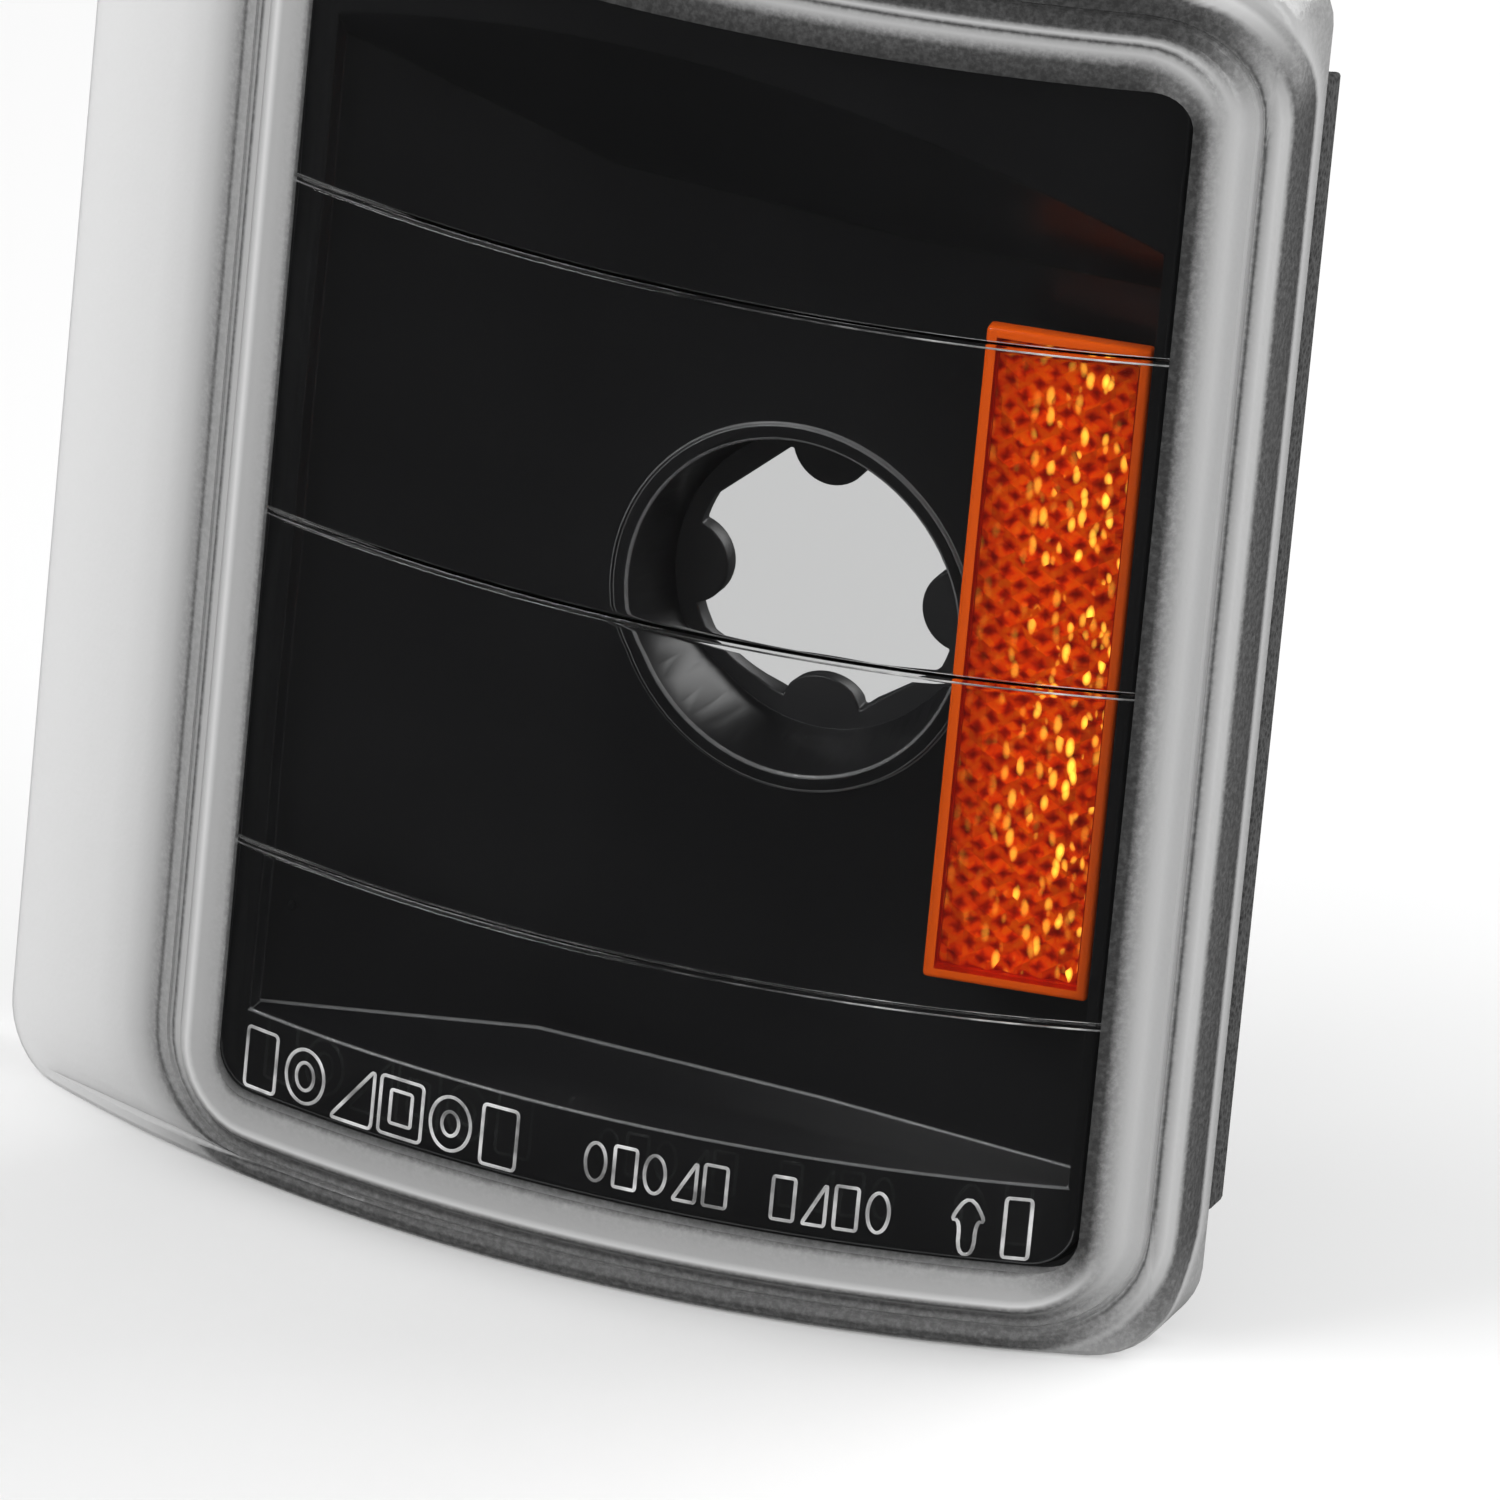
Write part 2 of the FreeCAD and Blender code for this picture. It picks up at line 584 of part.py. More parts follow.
def make_screws():
    """Pan-head screws that pull the liner back against the housing, each on a rubber seal."""
    screws, seals = [], []
    for index, place in enumerate(SCREW_PLACES):
        head = rod("screw_head_%d" % index, "screw_head_radius", place,
                   "screw_seal_depth", "screw_seal_depth +screw_head_depth")
        shank = rod("screw_shank_%d" % index, "screw_radius", place, "-screw_reach", "screw_seal_depth")
        screws.append(fuse("screw_%d" % index, head, shank))
        seals.append(pipe("screw_seal_%d" % index, "screw_seal_radius", "screw_radius +screw_pilot_gap",
                          place, "", "screw_seal_depth"))
    return [group("liner_screws", *screws), group("screw_seals", *seals)]


def make_vents():
    """Membrane over the mouth of each breather spigot, under a rubber cap with side slots."""
    caps, membranes = [], []
    spigot = "vent_radius +spigot_wall"
    reach = spigot + " +vent_cap_wall"
    roof = "spigot_depth +vent_cap_wall"
    tip = roof + " +vent_cap_wall"
    for index, (x, z) in enumerate(VENT_PLACES):
        body = rod("vent_cap_body_%d" % index, reach, (x, z), tip + " -vent_cap_depth", tip)
        bore = rod("vent_cap_bore_%d" % index, spigot, (x, z), "", roof)
        low = (x + " " + negative(reach) + " -vent_cap_wall", "spigot_depth +membrane_depth",
               z + " -vent_cap_wall")
        high = (x + " +" + reach + " +vent_cap_wall", roof, z + " +vent_cap_wall")
        slot = block("vent_cap_slot_%d" % index, low, high)
        caps.append(cut("vent_cap_%d" % index, body, fuse("vent_cap_hollow_%d" % index, bore, slot)))
        membranes.append(rod("vent_membrane_%d" % index, spigot, (x, z), "spigot_depth",
                             "spigot_depth +membrane_depth"))
    return [group("vent_caps", *caps), group("vent_membranes", *membranes)]


def make_grommet():
    """Rubber grommet pushed on to the locator pin; it seats in a hole of the body panel."""
    flange = pipe("grommet_flange", "grommet_flange_radius", "locator_radius", LOCATOR_PLACE,
                  "", "grommet_flange_depth")
    sleeve = pipe("grommet_sleeve", "grommet_radius", "locator_radius", LOCATOR_PLACE,
                  "", "grommet_flange_depth +grommet_depth")
    return fuse("locator_grommet", flange, sleeve)


def make_foam():
    """Foam strips on the back edge of the skirt: along the top, the bottom and the right side."""
    ring = common("foam_ring", ring_slab("foam_area", "outer", "", "-skirt_wall"),
                  layer("foam_layer", SKIRT_BACK, FOAM_BACK))
    left, right = "-outer_left +outer_corner", "outer_right -outer_corner"
    top, end_gap = "half_height -outer_corner", " -foam_end_gap"
    spans = {
        "foam_strip_top": ((left, "-lens_radius", top), (right + end_gap, "lens_radius", "half_height")),
        "foam_strip_bottom": ((left, "-lens_radius", "-half_height"),
                              (right + end_gap, "lens_radius", negative(top))),
        "foam_strip_side": ((right, "-lens_radius", negative(top + end_gap)),
                            ("outer_right", "lens_radius", top + end_gap)),
    }
    return [common(name, ring, block(name + "_span", low, high)) for name, (low, high) in spans.items()]


parts = [make_lens(), make_seal(), make_housing(), make_liner(), make_grommet()]
parts += make_reflector() + make_studs() + make_screws() + make_vents() + make_foam()
DOC.recompute()

# ---------------------------------------------------------------- checks and files
for item in DOC.Objects:
    if "Invalid" in item.State or "Error" in item.State:
        raise RuntimeError("%s did not build: %s" % (item.Name, item.State))
for part in parts:
    if part.Shape.isNull() or not part.Shape.isValid() or not part.Shape.Solids:
        raise RuntimeError("%s has no sound solid" % part.Name)
    part.Label = part.Name
os.makedirs("parts", exist_ok=True)
for part in parts:
    part.Shape.exportStep("parts/%s.step" % part.Label)
    print("%-20s solids %d volume %.1f" % (part.Label, len(part.Shape.Solids), part.Shape.Volume))
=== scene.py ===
import math

import bmesh
import bpy
from bpy.props import FloatProperty, FloatVectorProperty, PointerProperty
from mathutils import Matrix, Vector


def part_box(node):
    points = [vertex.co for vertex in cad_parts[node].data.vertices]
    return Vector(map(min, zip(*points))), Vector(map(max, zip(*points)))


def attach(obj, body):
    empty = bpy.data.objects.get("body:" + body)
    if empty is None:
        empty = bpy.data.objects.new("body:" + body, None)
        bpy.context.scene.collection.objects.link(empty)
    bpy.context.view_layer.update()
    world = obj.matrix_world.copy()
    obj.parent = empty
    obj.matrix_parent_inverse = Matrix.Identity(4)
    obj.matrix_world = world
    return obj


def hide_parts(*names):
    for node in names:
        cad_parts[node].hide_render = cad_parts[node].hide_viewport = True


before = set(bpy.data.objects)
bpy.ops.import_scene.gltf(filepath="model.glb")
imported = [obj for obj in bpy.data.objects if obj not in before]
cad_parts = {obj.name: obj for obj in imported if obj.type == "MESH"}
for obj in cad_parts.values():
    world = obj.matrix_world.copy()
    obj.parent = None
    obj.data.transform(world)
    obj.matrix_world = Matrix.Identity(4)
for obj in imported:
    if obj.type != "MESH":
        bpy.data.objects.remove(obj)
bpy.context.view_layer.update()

bl_info = {
    "name": "Corner marker lamp",
    "version": (1, 0, 0),
    "blender": (4, 5, 0),
    "location": "View3D > Sidebar > Lamp",
    "description": "Models the lens, liner, reflector and fittings of a corner marker lamp",
    "category": "Object",
}

LENS_LOW, LENS_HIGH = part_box("lens")
MM = 0.001


# ------------------------------------------------------------------ settings
def length(name, description, default):
    """Size in metres with a sensible range."""
    return FloatProperty(name=name, description=description, default=default, min=0.0, unit="LENGTH",
                         subtype="DISTANCE", precision=5)


def colour(name, description, default):
    """Linear colour with no alpha."""
    return FloatVectorProperty(name=name, description=description, default=default, subtype="COLOR",
                               size=3, min=0.0, max=1.0)


class LampLensSettings(bpy.types.PropertyGroup):
    radius: length("Arc radius", "Outer radius of the lens in plan", 131 * MM)
    wall: length("Wall", "Thickness of the clear wall", 2.5 * MM)
    frame_left: length("Frame left", "Window frame, to the left of the middle", 41 * MM)
    frame_right: length("Frame right", "Window frame, to the right of the middle", 56 * MM)
    frame_bottom: length("Frame bottom", "Window frame, below the middle", 67.9 * MM)
    frame_top: length("Frame top", "Window frame, above the middle", 66.1 * MM)
    frame_corner: length("Frame corner", "Corner radius of the window frame", 8 * MM)
    outer_corner: length("Outer corner", "Corner radius of the lens flange", 7 * MM)
    stipple_width: length("Stipple width", "Width of the stippled band inside the window frame", 4 * MM)
    stipple_right: length("Stipple right", "Width of the stippled band on the window's right side", 2.3 * MM)
    step: length("Step", "How far the flange lies behind the window", 1.8 * MM)
    skirt_depth: length("Skirt depth", "Depth of the skirt round the flange", 8 * MM)
    tongue_half: length("Half tongue", "Half the thickness of the tongue in the channel", 1 * MM)
    tongue_depth: length("Tongue depth", "Depth of the tongue behind the flange", 5 * MM)
    flute_pitch: length("Flute pitch", "Height of one horizontal flute", 35.5 * MM)
    flute_drop: length("Flute drop", "How far the middle rib lies below the middle of the lamp", 2.2 * MM)
    flute_sag: length("Flute sag", "Extra thickness in the middle of a flute", 0.45 * MM)
    rib_rise: length("Rib rise", "Height of the bead between two flutes", 0.35 * MM)
    mark_drop: length("Mark drop", "How far the row of marks lies below the lamp's middle", 59.2 * MM)
    mark_line: length("Mark line", "Radius of the raised lines of the moulded marks", 0.19 * MM)
    tint: colour("Clear tint", "Tint of the clear plastic", (0.95, 0.955, 0.955))


class LampInteriorSettings(bpy.types.PropertyGroup):
    black: colour("Liner black", "Colour of the satin black liner", (0.0045, 0.0045, 0.005))
    shell_black: colour("Housing black", "Colour of the grained black housing", (0.012, 0.012, 0.013))
    # Painted highlight: the edge grey and the floor and lip reaches below paint a lighter grey on the liner's
    # rounded edges low on the floor and round the port lip, where light catches them.
    edge_highlight_grey: colour("Edge grey", "Colour of the liner's polished edges", (0.10, 0.10, 0.102))
    edge_round: length("Edge round", "Radius that moulded edges are rounded to", 0.25 * MM)
    floor_top: length("Floor top", "How far below the middle the well's polished floor edges begin", 44 * MM)
    port_place: length("Port place", "Distance of the bulb port to the right of the lamp's middle", 14.5 * MM)
    port_drop: length("Port drop", "How far the bulb port lies below the lamp's middle", 4.1 * MM)
    lip_reach: length("Lip reach", "Radius round the port that takes in the tube's polished lip", 21 * MM)


class LampReflexSettings(bpy.types.PropertyGroup):
    place: length("Place", "Distance of the reflector's middle to the right of the lamp's", 42.6 * MM)
    face_gap: length("Face gap", "Gap from the lens to the reflector's face", 3.4 * MM)
    turn: FloatProperty(name="Turn", description="Turn of the reflector in plan, in degrees", default=11.0)
    width: length("Width", "Width of the amber reflector", 16.5 * MM)
    height: length("Height", "Height of the amber reflector", 69.5 * MM)
    depth: length("Depth", "Thickness of the amber reflector", 2.2 * MM)
    drop: length("Drop", "How far the reflector's middle lies below the lamp's", 1 * MM)
    pitch: length("Cell pitch", "Distance across one hexagonal prism cell", 2.75 * MM)
    rim: length("Rim", "Width of the plain rim round the prisms", 1.1 * MM)
    # Painted glints: the prisms glow yellow between these two places and further right.
    glints_left: length("Glints left", "Where the yellow glints begin, right of the lamp's middle", 38.5 * MM)
    glints_right: length("Glints right", "Where the yellow glints are full", 44.5 * MM)
    amber: colour("Amber", "Tint of the amber cover", (1.0, 0.60, 0.22))
    rim_amber: colour("Rim amber", "Colour of the plain rim of the cover", (0.80, 0.10, 0.004))


class LampStageSettings(bpy.types.PropertyGroup):
    azimuth: FloatProperty(name="Azimuth", description="Camera angle round the lamp", default=20.7)
    elevation: FloatProperty(name="Elevation", description="Camera angle above level", default=23.0)
    roll: FloatProperty(name="Roll", description="Camera roll in degrees", default=5.55)
    distance: length("Distance", "Camera distance", 2.6)
    field: length("Field", "Width of what the camera sees at the lamp", 147.7 * MM)
    floor_tone: colour("Floor", "Colour of the pale floor", (0.86, 0.86, 0.86))


SETTINGS = {"lamp_lens": LampLensSettings, "lamp_interior": LampInteriorSettings,
            "lamp_reflex": LampReflexSettings, "lamp_stage": LampStageSettings}


# ------------------------------------------------------------------ shader nodes
BLACK = (0.0, 0.0, 0.0, 1.0)


def feed(tree, socket, value):
    """Link an output to a socket, or set the socket's plain value."""
    if isinstance(value, bpy.types.NodeSocket):
        tree.links.new(value, socket)
    else:
        socket.default_value = value


def node(tree, kind, settings=None, **inputs):
    """New shader node with its settings, and its inputs linked or set."""
    made = tree.nodes.new("ShaderNode" + kind)
    for label, setting in (settings or {}).items():
        setattr(made, label, setting)
    for label, value in inputs.items():
        feed(tree, made.inputs[label.replace("_", " ")], value)
    return made


def own_place(tree):
    """Coordinates in the piece's own frame."""
    return node(tree, "TexCoord").outputs["Object"]


def split(tree, colour_output):
    """Red, green and blue outputs of a colour."""
    return node(tree, "SeparateColor", Color=colour_output).outputs


def calculate(tree, operation, *values):
    """Result of a Math node."""
    made = node(tree, "Math", {"operation": operation})
    for socket, value in zip(made.inputs, values):
        feed(tree, socket, value)
    return made.outputs[0]


def ranged(tree, value, low, high, to_low=0.0, to_high=1.0):
    """Value carried from one range to another and kept inside it."""
    made = node(tree, "MapRange", Value=value, From_Min=low, From_Max=high,
                To_Min=to_low, To_Max=to_high)
    return made.outputs["Result"]


def blended(tree, factor, first, second, way="MIX"):
    """Two colours blended by a factor."""
    made = node(tree, "Mix", {"data_type": "RGBA", "blend_type": way})
    for index, value in ((0, factor), (6, first), (7, second)):
        feed(tree, made.inputs[index], value)
    return made.outputs[2]


def ramped(tree, factor, stops):
    """Colour ramp through (place, colour) stops."""
    made = node(tree, "ValToRGB", Fac=factor)
    elements = made.color_ramp.elements
    for element, (place, tone) in zip(elements, (stops[0], stops[-1])):
        element.position = place
        element.color = tone
    for place, tone in stops[1:-1]:
        elements.new(place).color = tone
    return made.outputs["Color"]


# ------------------------------------------------------------------ shader groups
def new_group(name, inputs, outputs):
    """Node group with named value sockets and its input and output nodes in place."""
    group = bpy.data.node_groups.new(name, "ShaderNodeTree")
    for label, default in inputs:
        socket = group.interface.new_socket(name=label, in_out="INPUT", socket_type="NodeSocketFloat")
        socket.default_value = default
    for label in outputs:
        group.interface.new_socket(name=label, in_out="OUTPUT", socket_type="NodeSocketFloat")
    return group, group.nodes.new("NodeGroupInput").outputs, group.nodes.new("NodeGroupOutput").inputs


def grain_group():
    """Fine moulded grain: a mask that varies slowly, a roughness and a height."""
    name = "moulded_grain"
    if name in bpy.data.node_groups:
        return bpy.data.node_groups[name]
    group, given, result = new_group(name, [("Scale", 900.0), ("Roughness", 0.4), ("Variation", 0.1)],
                                     ["Mask", "Roughness", "Height"])
    place = own_place(group)
    fine = node(group, "TexNoise", Vector=place, Scale=given["Scale"], Detail=4.0, Roughness=0.6)
    coarse = node(group, "TexNoise", Vector=place, Scale=45.0, Detail=3.0)
    centred = calculate(group, "SUBTRACT", coarse.outputs["Fac"], 0.5)
    rough = calculate(group, "MULTIPLY_ADD", centred, given["Variation"], given["Roughness"])
    feed(group, result["Mask"], coarse.outputs["Fac"])
    feed(group, result["Roughness"], rough)
    feed(group, result["Height"], fine.outputs["Fac"])
    return group


def stipple_group():
    """Spark-eroded stipple of the lens border: pits in a height and light specks in a mask."""
    name = "stipple"
    if name in bpy.data.node_groups:
        return bpy.data.node_groups[name]
    group, given, result = new_group(name, [("Scale", 1400.0), ("Speck Share", 0.6)], ["Specks", "Height"])
    place = own_place(group)
    pits = node(group, "TexVoronoi", Vector=place, Scale=given["Scale"])
    noise = node(group, "TexNoise", Vector=place, Scale=given["Scale"], Detail=5.0, Roughness=0.7)
    feed(group, result["Specks"], ranged(group, noise.outputs["Fac"], given["Speck Share"], 0.75))
    feed(group, result["Height"], pits.outputs["Distance"])
    return group


# ------------------------------------------------------------------ materials
def new_material(name):
    """Empty material with its tree and the surface socket of its output."""
    material = bpy.data.materials.new(name)
    material.use_nodes = True
    tree = material.node_tree
    tree.nodes.clear()
    return material, tree, tree.nodes.new("ShaderNodeOutputMaterial").inputs["Surface"]


def principled(tree, tone, rough, **inputs):
    """Principled shader with constant values on its own sockets."""
    return node(tree, "BsdfPrincipled", Base_Color=(*tone, 1.0), Roughness=rough, **inputs)


def mixed_shader(tree, factor, first, second):
    """Two shaders mixed by a factor."""
    made = tree.nodes.new("ShaderNodeMixShader")
    for socket, value in zip(made.inputs, (factor, first, second)):
        feed(tree, socket, value)
    return made.outputs[0]


def light_through(tree, shader, surface, tint):
    """Let lamps through clear plastic while the camera still sees its surface."""
    path = node(tree, "LightPath")
    clear = node(tree, "BsdfTransparent", Color=(*tint, 1.0))
    shadow = path.outputs["Is Shadow Ray"]
    feed(tree, surface, mixed_shader(tree, shadow, shader.outputs[0], clear.outputs[0]))


def add_bump(tree, height, shader, strength, distance):
    """Bump on a shader from a height output."""
    bump = node(tree, "Bump", Strength=strength, Distance=distance, Height=height)
    feed(tree, shader.inputs["Normal"], bump.outputs["Normal"])


def add_grain(tree, shader, scale, rough, variation, strength, distance):
    """Moulded grain on a shader's roughness and normal; gives back the slow mask."""
    grain = node(tree, "Group", {"node_tree": grain_group()}, Scale=scale, Roughness=rough,
                 Variation=variation)
    feed(tree, shader.inputs["Roughness"], grain.outputs["Roughness"])
    add_bump(tree, grain.outputs["Height"], shader, strength, distance)
    return grain.outputs["Mask"]


def polished_acrylic(name, tint, rough, scale, detail, strength, distance):
    """Polished clear acrylic with the faint waviness of a moulding."""
    material, tree, surface = new_material(name)
    shader = principled(tree, tint, rough, IOR=1.49, Transmission_Weight=1.0)
    ripple = node(tree, "TexNoise", Vector=own_place(tree), Scale=scale, Detail=detail)
    add_bump(tree, ripple.outputs["Fac"], shader, strength, distance)
    light_through(tree, shader, surface, tint)
    return material


def grey(level):
    """Linear colour of a grey given on the 0 to 255 display scale, for a lightly shaded face; the light and
    shade of that displayed grey are painted into the colour.
    """
    tone = min((level / 255) ** 2.2 * 0.95, 0.92)
    return (tone, tone, tone, 1.0)


# Bands of the border: distance outwards from the frame line in mm, and how light each looks. These greys are
# painted light and shade: highlights of rounded edges and darker bands of shade, lighter or darker by side as
# the light falls, over the frosted plastic's own grey.
BORDER_LIGHT_AND_SHADE_BANDS = {
    "right": ((-4.0, 58), (-1.4, 74), (-0.5, 150), (0.4, 176), (1.3, 196), (3.2, 180), (3.6, 80), (3.9, 165),
              (4.8, 205), (5.5, 190), (6.1, 88), (8.3, 78), (8.7, 190), (9.6, 150)),
    "top": ((-4.0, 66), (-1.7, 84), (-0.9, 155), (-0.2, 190), (0.3, 165), (0.6, 60), (0.9, 205), (1.3, 78),
            (4.3, 70), (5.6, 84), (6.3, 215), (7.3, 240), (7.8, 196), (9.4, 188), (11.2, 110)),
    "left": ((-4.0, 130), (-3.3, 172), (-0.9, 186), (-0.2, 232), (0.3, 205), (2.1, 188), (2.5, 96),
             (2.8, 170), (4.2, 160), (4.6, 105), (5.0, 150), (7.0, 192), (9.5, 216), (13.0, 228),
             (24.0, 238)),
    "bottom": ((-4.0, 100), (-3.2, 168), (-0.9, 186), (-0.2, 230), (0.2, 150), (0.6, 82), (1.1, 140),
               (1.7, 78), (2.3, 125), (3.9, 118), (4.3, 84), (5.1, 92), (5.6, 165), (6.6, 176), (9.6, 196)),
}
BAND_START, BAND_SPAN = -4.0, 30.0


def painted_border_plastic():
    """Stippled acrylic border: its bands follow the distance from the frame line on each side; their greys
    paint each side's light and shade over the plastic's own grey.
    """
    material, tree, surface = new_material("stippled_acrylic")
    shader = principled(tree, (0.5, 0.5, 0.5), 0.28, IOR=1.49, Transmission_Weight=0.12)
    reach = node(tree, "Attribute", {"attribute_name": "reach"}).outputs["Fac"]
    weights = split(tree, node(tree, "Attribute", {"attribute_name": "sides"}).outputs["Color"])
    painted_tones = {}
    for side, bands in BORDER_LIGHT_AND_SHADE_BANDS.items():
        stops = [((distance - BAND_START) / BAND_SPAN, grey(level)) for distance, level in bands]
        painted_tones[side] = ramped(tree, reach, stops)
    tone = painted_tones["bottom"]
    for weight, side in zip(weights, ("right", "top", "left")):
        tone = blended(tree, weight, tone, painted_tones[side])
    stipple = node(tree, "Group", {"node_tree": stipple_group()}, Scale=1700.0, Speck_Share=0.42)
    spread = ranged(tree, stipple.outputs["Specks"], 0.0, 1.0, 0.72, 1.75)
    speckled = blended(tree, 1.0, tone, spread, "MULTIPLY")
    lightness = ranged(tree, tone, 0.08, 0.45)
    feed(tree, shader.inputs["Base Color"], blended(tree, lightness, speckled, tone))
    add_bump(tree, stipple.outputs["Height"], shader, 0.25, 0.0001)
    light_through(tree, shader, surface, (0.75, 0.75, 0.75))
    return material


# Painted highlight of the ribs: how light they look from the left to the right end of the window, on the 0 to
# 255 scale.
RIB_HIGHLIGHT_LEVELS = ((0.0, 225), (0.06, 150), (0.2, 70), (0.45, 62), (0.6, 95), (0.74, 205), (1.0, 235))
# Painted highlight of the raised marks, the same all along.
MARK_HIGHLIGHT_LEVEL = 215


def highlighted_line_plastic(left, right, marks_top):
    """Thin raised lines with painted highlights: the ribs are painted brighter at the lamp's ends, the low
    marks all along.
    """
    material, tree, surface = new_material("raised_acrylic")
    shader = principled(tree, (0.62, 0.63, 0.64), 0.12, IOR=1.49, Transmission_Weight=0.25)
    place = own_place(tree)
    parts = node(tree, "SeparateXYZ", Vector=place).outputs
    along = ranged(tree, parts["X"], left, right)
    rib_highlight = ramped(tree, along, [(spot, grey(level)) for spot, level in RIB_HIGHLIGHT_LEVELS])
    low = ranged(tree, parts["Z"], marks_top, marks_top - 1.5 * MM)
    tone = blended(tree, low, rib_highlight, grey(MARK_HIGHLIGHT_LEVEL))
    # Noise breaks up the painted highlight along the lines.
    noise = node(tree, "TexNoise", Vector=place, Scale=260.0, Detail=3.0)
    highlight_flicker = ranged(tree, noise.outputs["Fac"], 0.35, 0.65, 0.35, 1.3)
    feed(tree, shader.inputs["Base Color"], blended(tree, 1.0, tone, highlight_flicker, "MULTIPLY"))
    light_through(tree, shader, surface, (0.9, 0.9, 0.9))
    return material


def grained_plastic(name, tone, rough, scale, strength, variation=0.12):
    """Opaque moulded plastic or rubber."""
    material, tree, surface = new_material(name)
    shader = principled(tree, tone, rough)
    mask = add_grain(tree, shader, scale, rough, variation, strength, 0.0001)
    lighter = [min(1.0, 1.7 * part + 0.004) for part in tone]
    feed(tree, shader.inputs["Base Color"], blended(tree, mask, (*tone, 1.0), (*lighter, 1.0)))
    feed(tree, surface, shader.outputs[0])
    return material


def foam_material():
    """Open-cell foam: round pores in a charcoal skin."""
    material, tree, surface = new_material("open_cell_foam")
    shader = principled(tree, (0.03, 0.03, 0.03), 0.95)
    pores = node(tree, "TexVoronoi", Vector=own_place(tree), Scale=1500.0).outputs["Distance"]
    feed(tree, shader.inputs["Base Color"], ranged(tree, pores, 0.0, 0.6, 0.012, 0.055))
    add_bump(tree, pores, shader, 0.9, 0.0004)
    feed(tree, surface, shader.outputs[0])
    return material


def zinc_material():
    """Zinc-plated steel with a slightly clouded passivate."""
    material, tree, surface = new_material("zinc_plated_steel")
    shader = principled(tree, (0.62, 0.61, 0.56), 0.35, Metallic=1.0)
    mask = add_grain(tree, shader, 1500.0, 0.33, 0.35, 0.15, 0.00005)
    clouded = blended(tree, mask, (0.66, 0.65, 0.60, 1.0), (0.55, 0.57, 0.50, 1.0))
    feed(tree, shader.inputs["Base Color"], clouded)
    feed(tree, surface, shader.outputs[0])
    return material


def plain_grained(name, tone, rough, *grain):
    """One colour whose grain shows in its roughness and normal."""
    material, tree, surface = new_material(name)
    shader = principled(tree, tone, rough)
    add_grain(tree, shader, *grain)
    feed(tree, surface, shader.outputs[0])
    return material


# Cells of the prisms from the dark grooves to the bright middles, and their glints: painted shade in the
# grooves, painted highlights in the middles over the amber's own orange, and painted glints.
PRISM_PAINTED_TONES = ((0.0, (0.30, 0.013, 0.0, 1.0)), (0.3, (0.62, 0.05, 0.001, 1.0)),
               (0.58, (0.95, 0.16, 0.003, 1.0)), (1.0, (1.0, 0.36, 0.012, 1.0)))
PAINTED_GLINT_YELLOW = (1.0, 0.80, 0.20, 1.0)


def prism_material(glints_left, glints_right):
    """Back faces of the prism cells: a lattice of painted shade in dark red and painted highlight in orange,
    with painted yellow glints that glow, stronger to the right.
    """
    material, tree, surface = new_material("amber_prisms")
    # The emission makes the painted glints glow, though the reflector is no lamp.
    shader = principled(tree, (0.8, 0.1, 0.0), 0.22, Emission_Strength=2.6)
    place = own_place(tree)
    bands = []
    for turn in (0.8, -0.8):
        slope = node(tree, "Mapping", Vector=place, Rotation=(0.0, turn, 0.0))
        wave = node(tree, "TexWave", Vector=slope.outputs["Vector"], Scale=165.0,
                    Distortion=1.6, Detail=2.0, Detail_Scale=3.0)
        bands.append(wave.outputs["Fac"])
    cells = node(tree, "TexVoronoi", Vector=place, Scale=1150.0)
    cell_share = ranged(tree, split(tree, cells.outputs["Color"])[0], 0.0, 1.0, 0.55, 1.1)
    shade = calculate(tree, "MULTIPLY", calculate(tree, "MAXIMUM", *bands), cell_share)
    feed(tree, shader.inputs["Base Color"], ramped(tree, shade, PRISM_PAINTED_TONES))
    # Painted glints: yellow spots that glow, fading in towards the right where light catches the prisms.
    slant = node(tree, "Mapping", Vector=place, Rotation=(0.0, -0.55, 0.0), Scale=(1.0, 1.0, 0.42))
    glints = node(tree, "TexVoronoi", Vector=slant.outputs["Vector"], Scale=1000.0)
    shape = ranged(tree, glints.outputs["Distance"], 0.5, 0.2)
    chance = ranged(tree, split(tree, glints.outputs["Color"])[1], 0.3, 0.85)
    across = node(tree, "SeparateXYZ", Vector=place).outputs["X"]
    rightwards = ranged(tree, across, glints_left, glints_right, 0.06, 1.0)
    painted_glint = calculate(tree, "MULTIPLY", calculate(tree, "MULTIPLY", shape, chance), rightwards)
    feed(tree, shader.inputs["Emission Color"], blended(tree, painted_glint, BLACK, PAINTED_GLINT_YELLOW))
    add_bump(tree, cells.outputs["Distance"], shader, 0.3, 0.0003)
    feed(tree, surface, shader.outputs[0])
    return material


def bounced(tree, kind):
    """One for rays that have been mirrored (Glossy) or bent (Transmission) on their way, else nought."""
    path = node(tree, "LightPath")
    return calculate(tree, "GREATER_THAN", path.outputs[kind + " Depth"], 0.5)


def floor_material(tone):
    """Pale paper sweep that is a little greyer through plastic and dim in reflections."""
    material, tree, surface = new_material("pale_floor")
    shade = principled(tree, tone, 0.9).outputs[0]
    for kind, share in (("Transmission", 0.62), ("Glossy", 0.025)):
        other = principled(tree, [share * part for part in tone], 0.9)
        shade = mixed_shader(tree, bounced(tree, kind), shade, other.outputs[0])
    feed(tree, surface, shade)
    return material


# ------------------------------------------------------------------ mesh helpers
def deselect():
    """Nothing selected and nothing active before an operator runs."""
    bpy.ops.object.select_all(action="DESELECT")


def pick(piece):
    """Select one object and make it active."""
    deselect()
    piece.select_set(True)
    bpy.context.view_layer.objects.active = piece


def named(name):
    """Name the object that a primitive operator has just made."""
    piece = bpy.context.active_object
    piece.name = name
    piece.data.name = name
    return piece


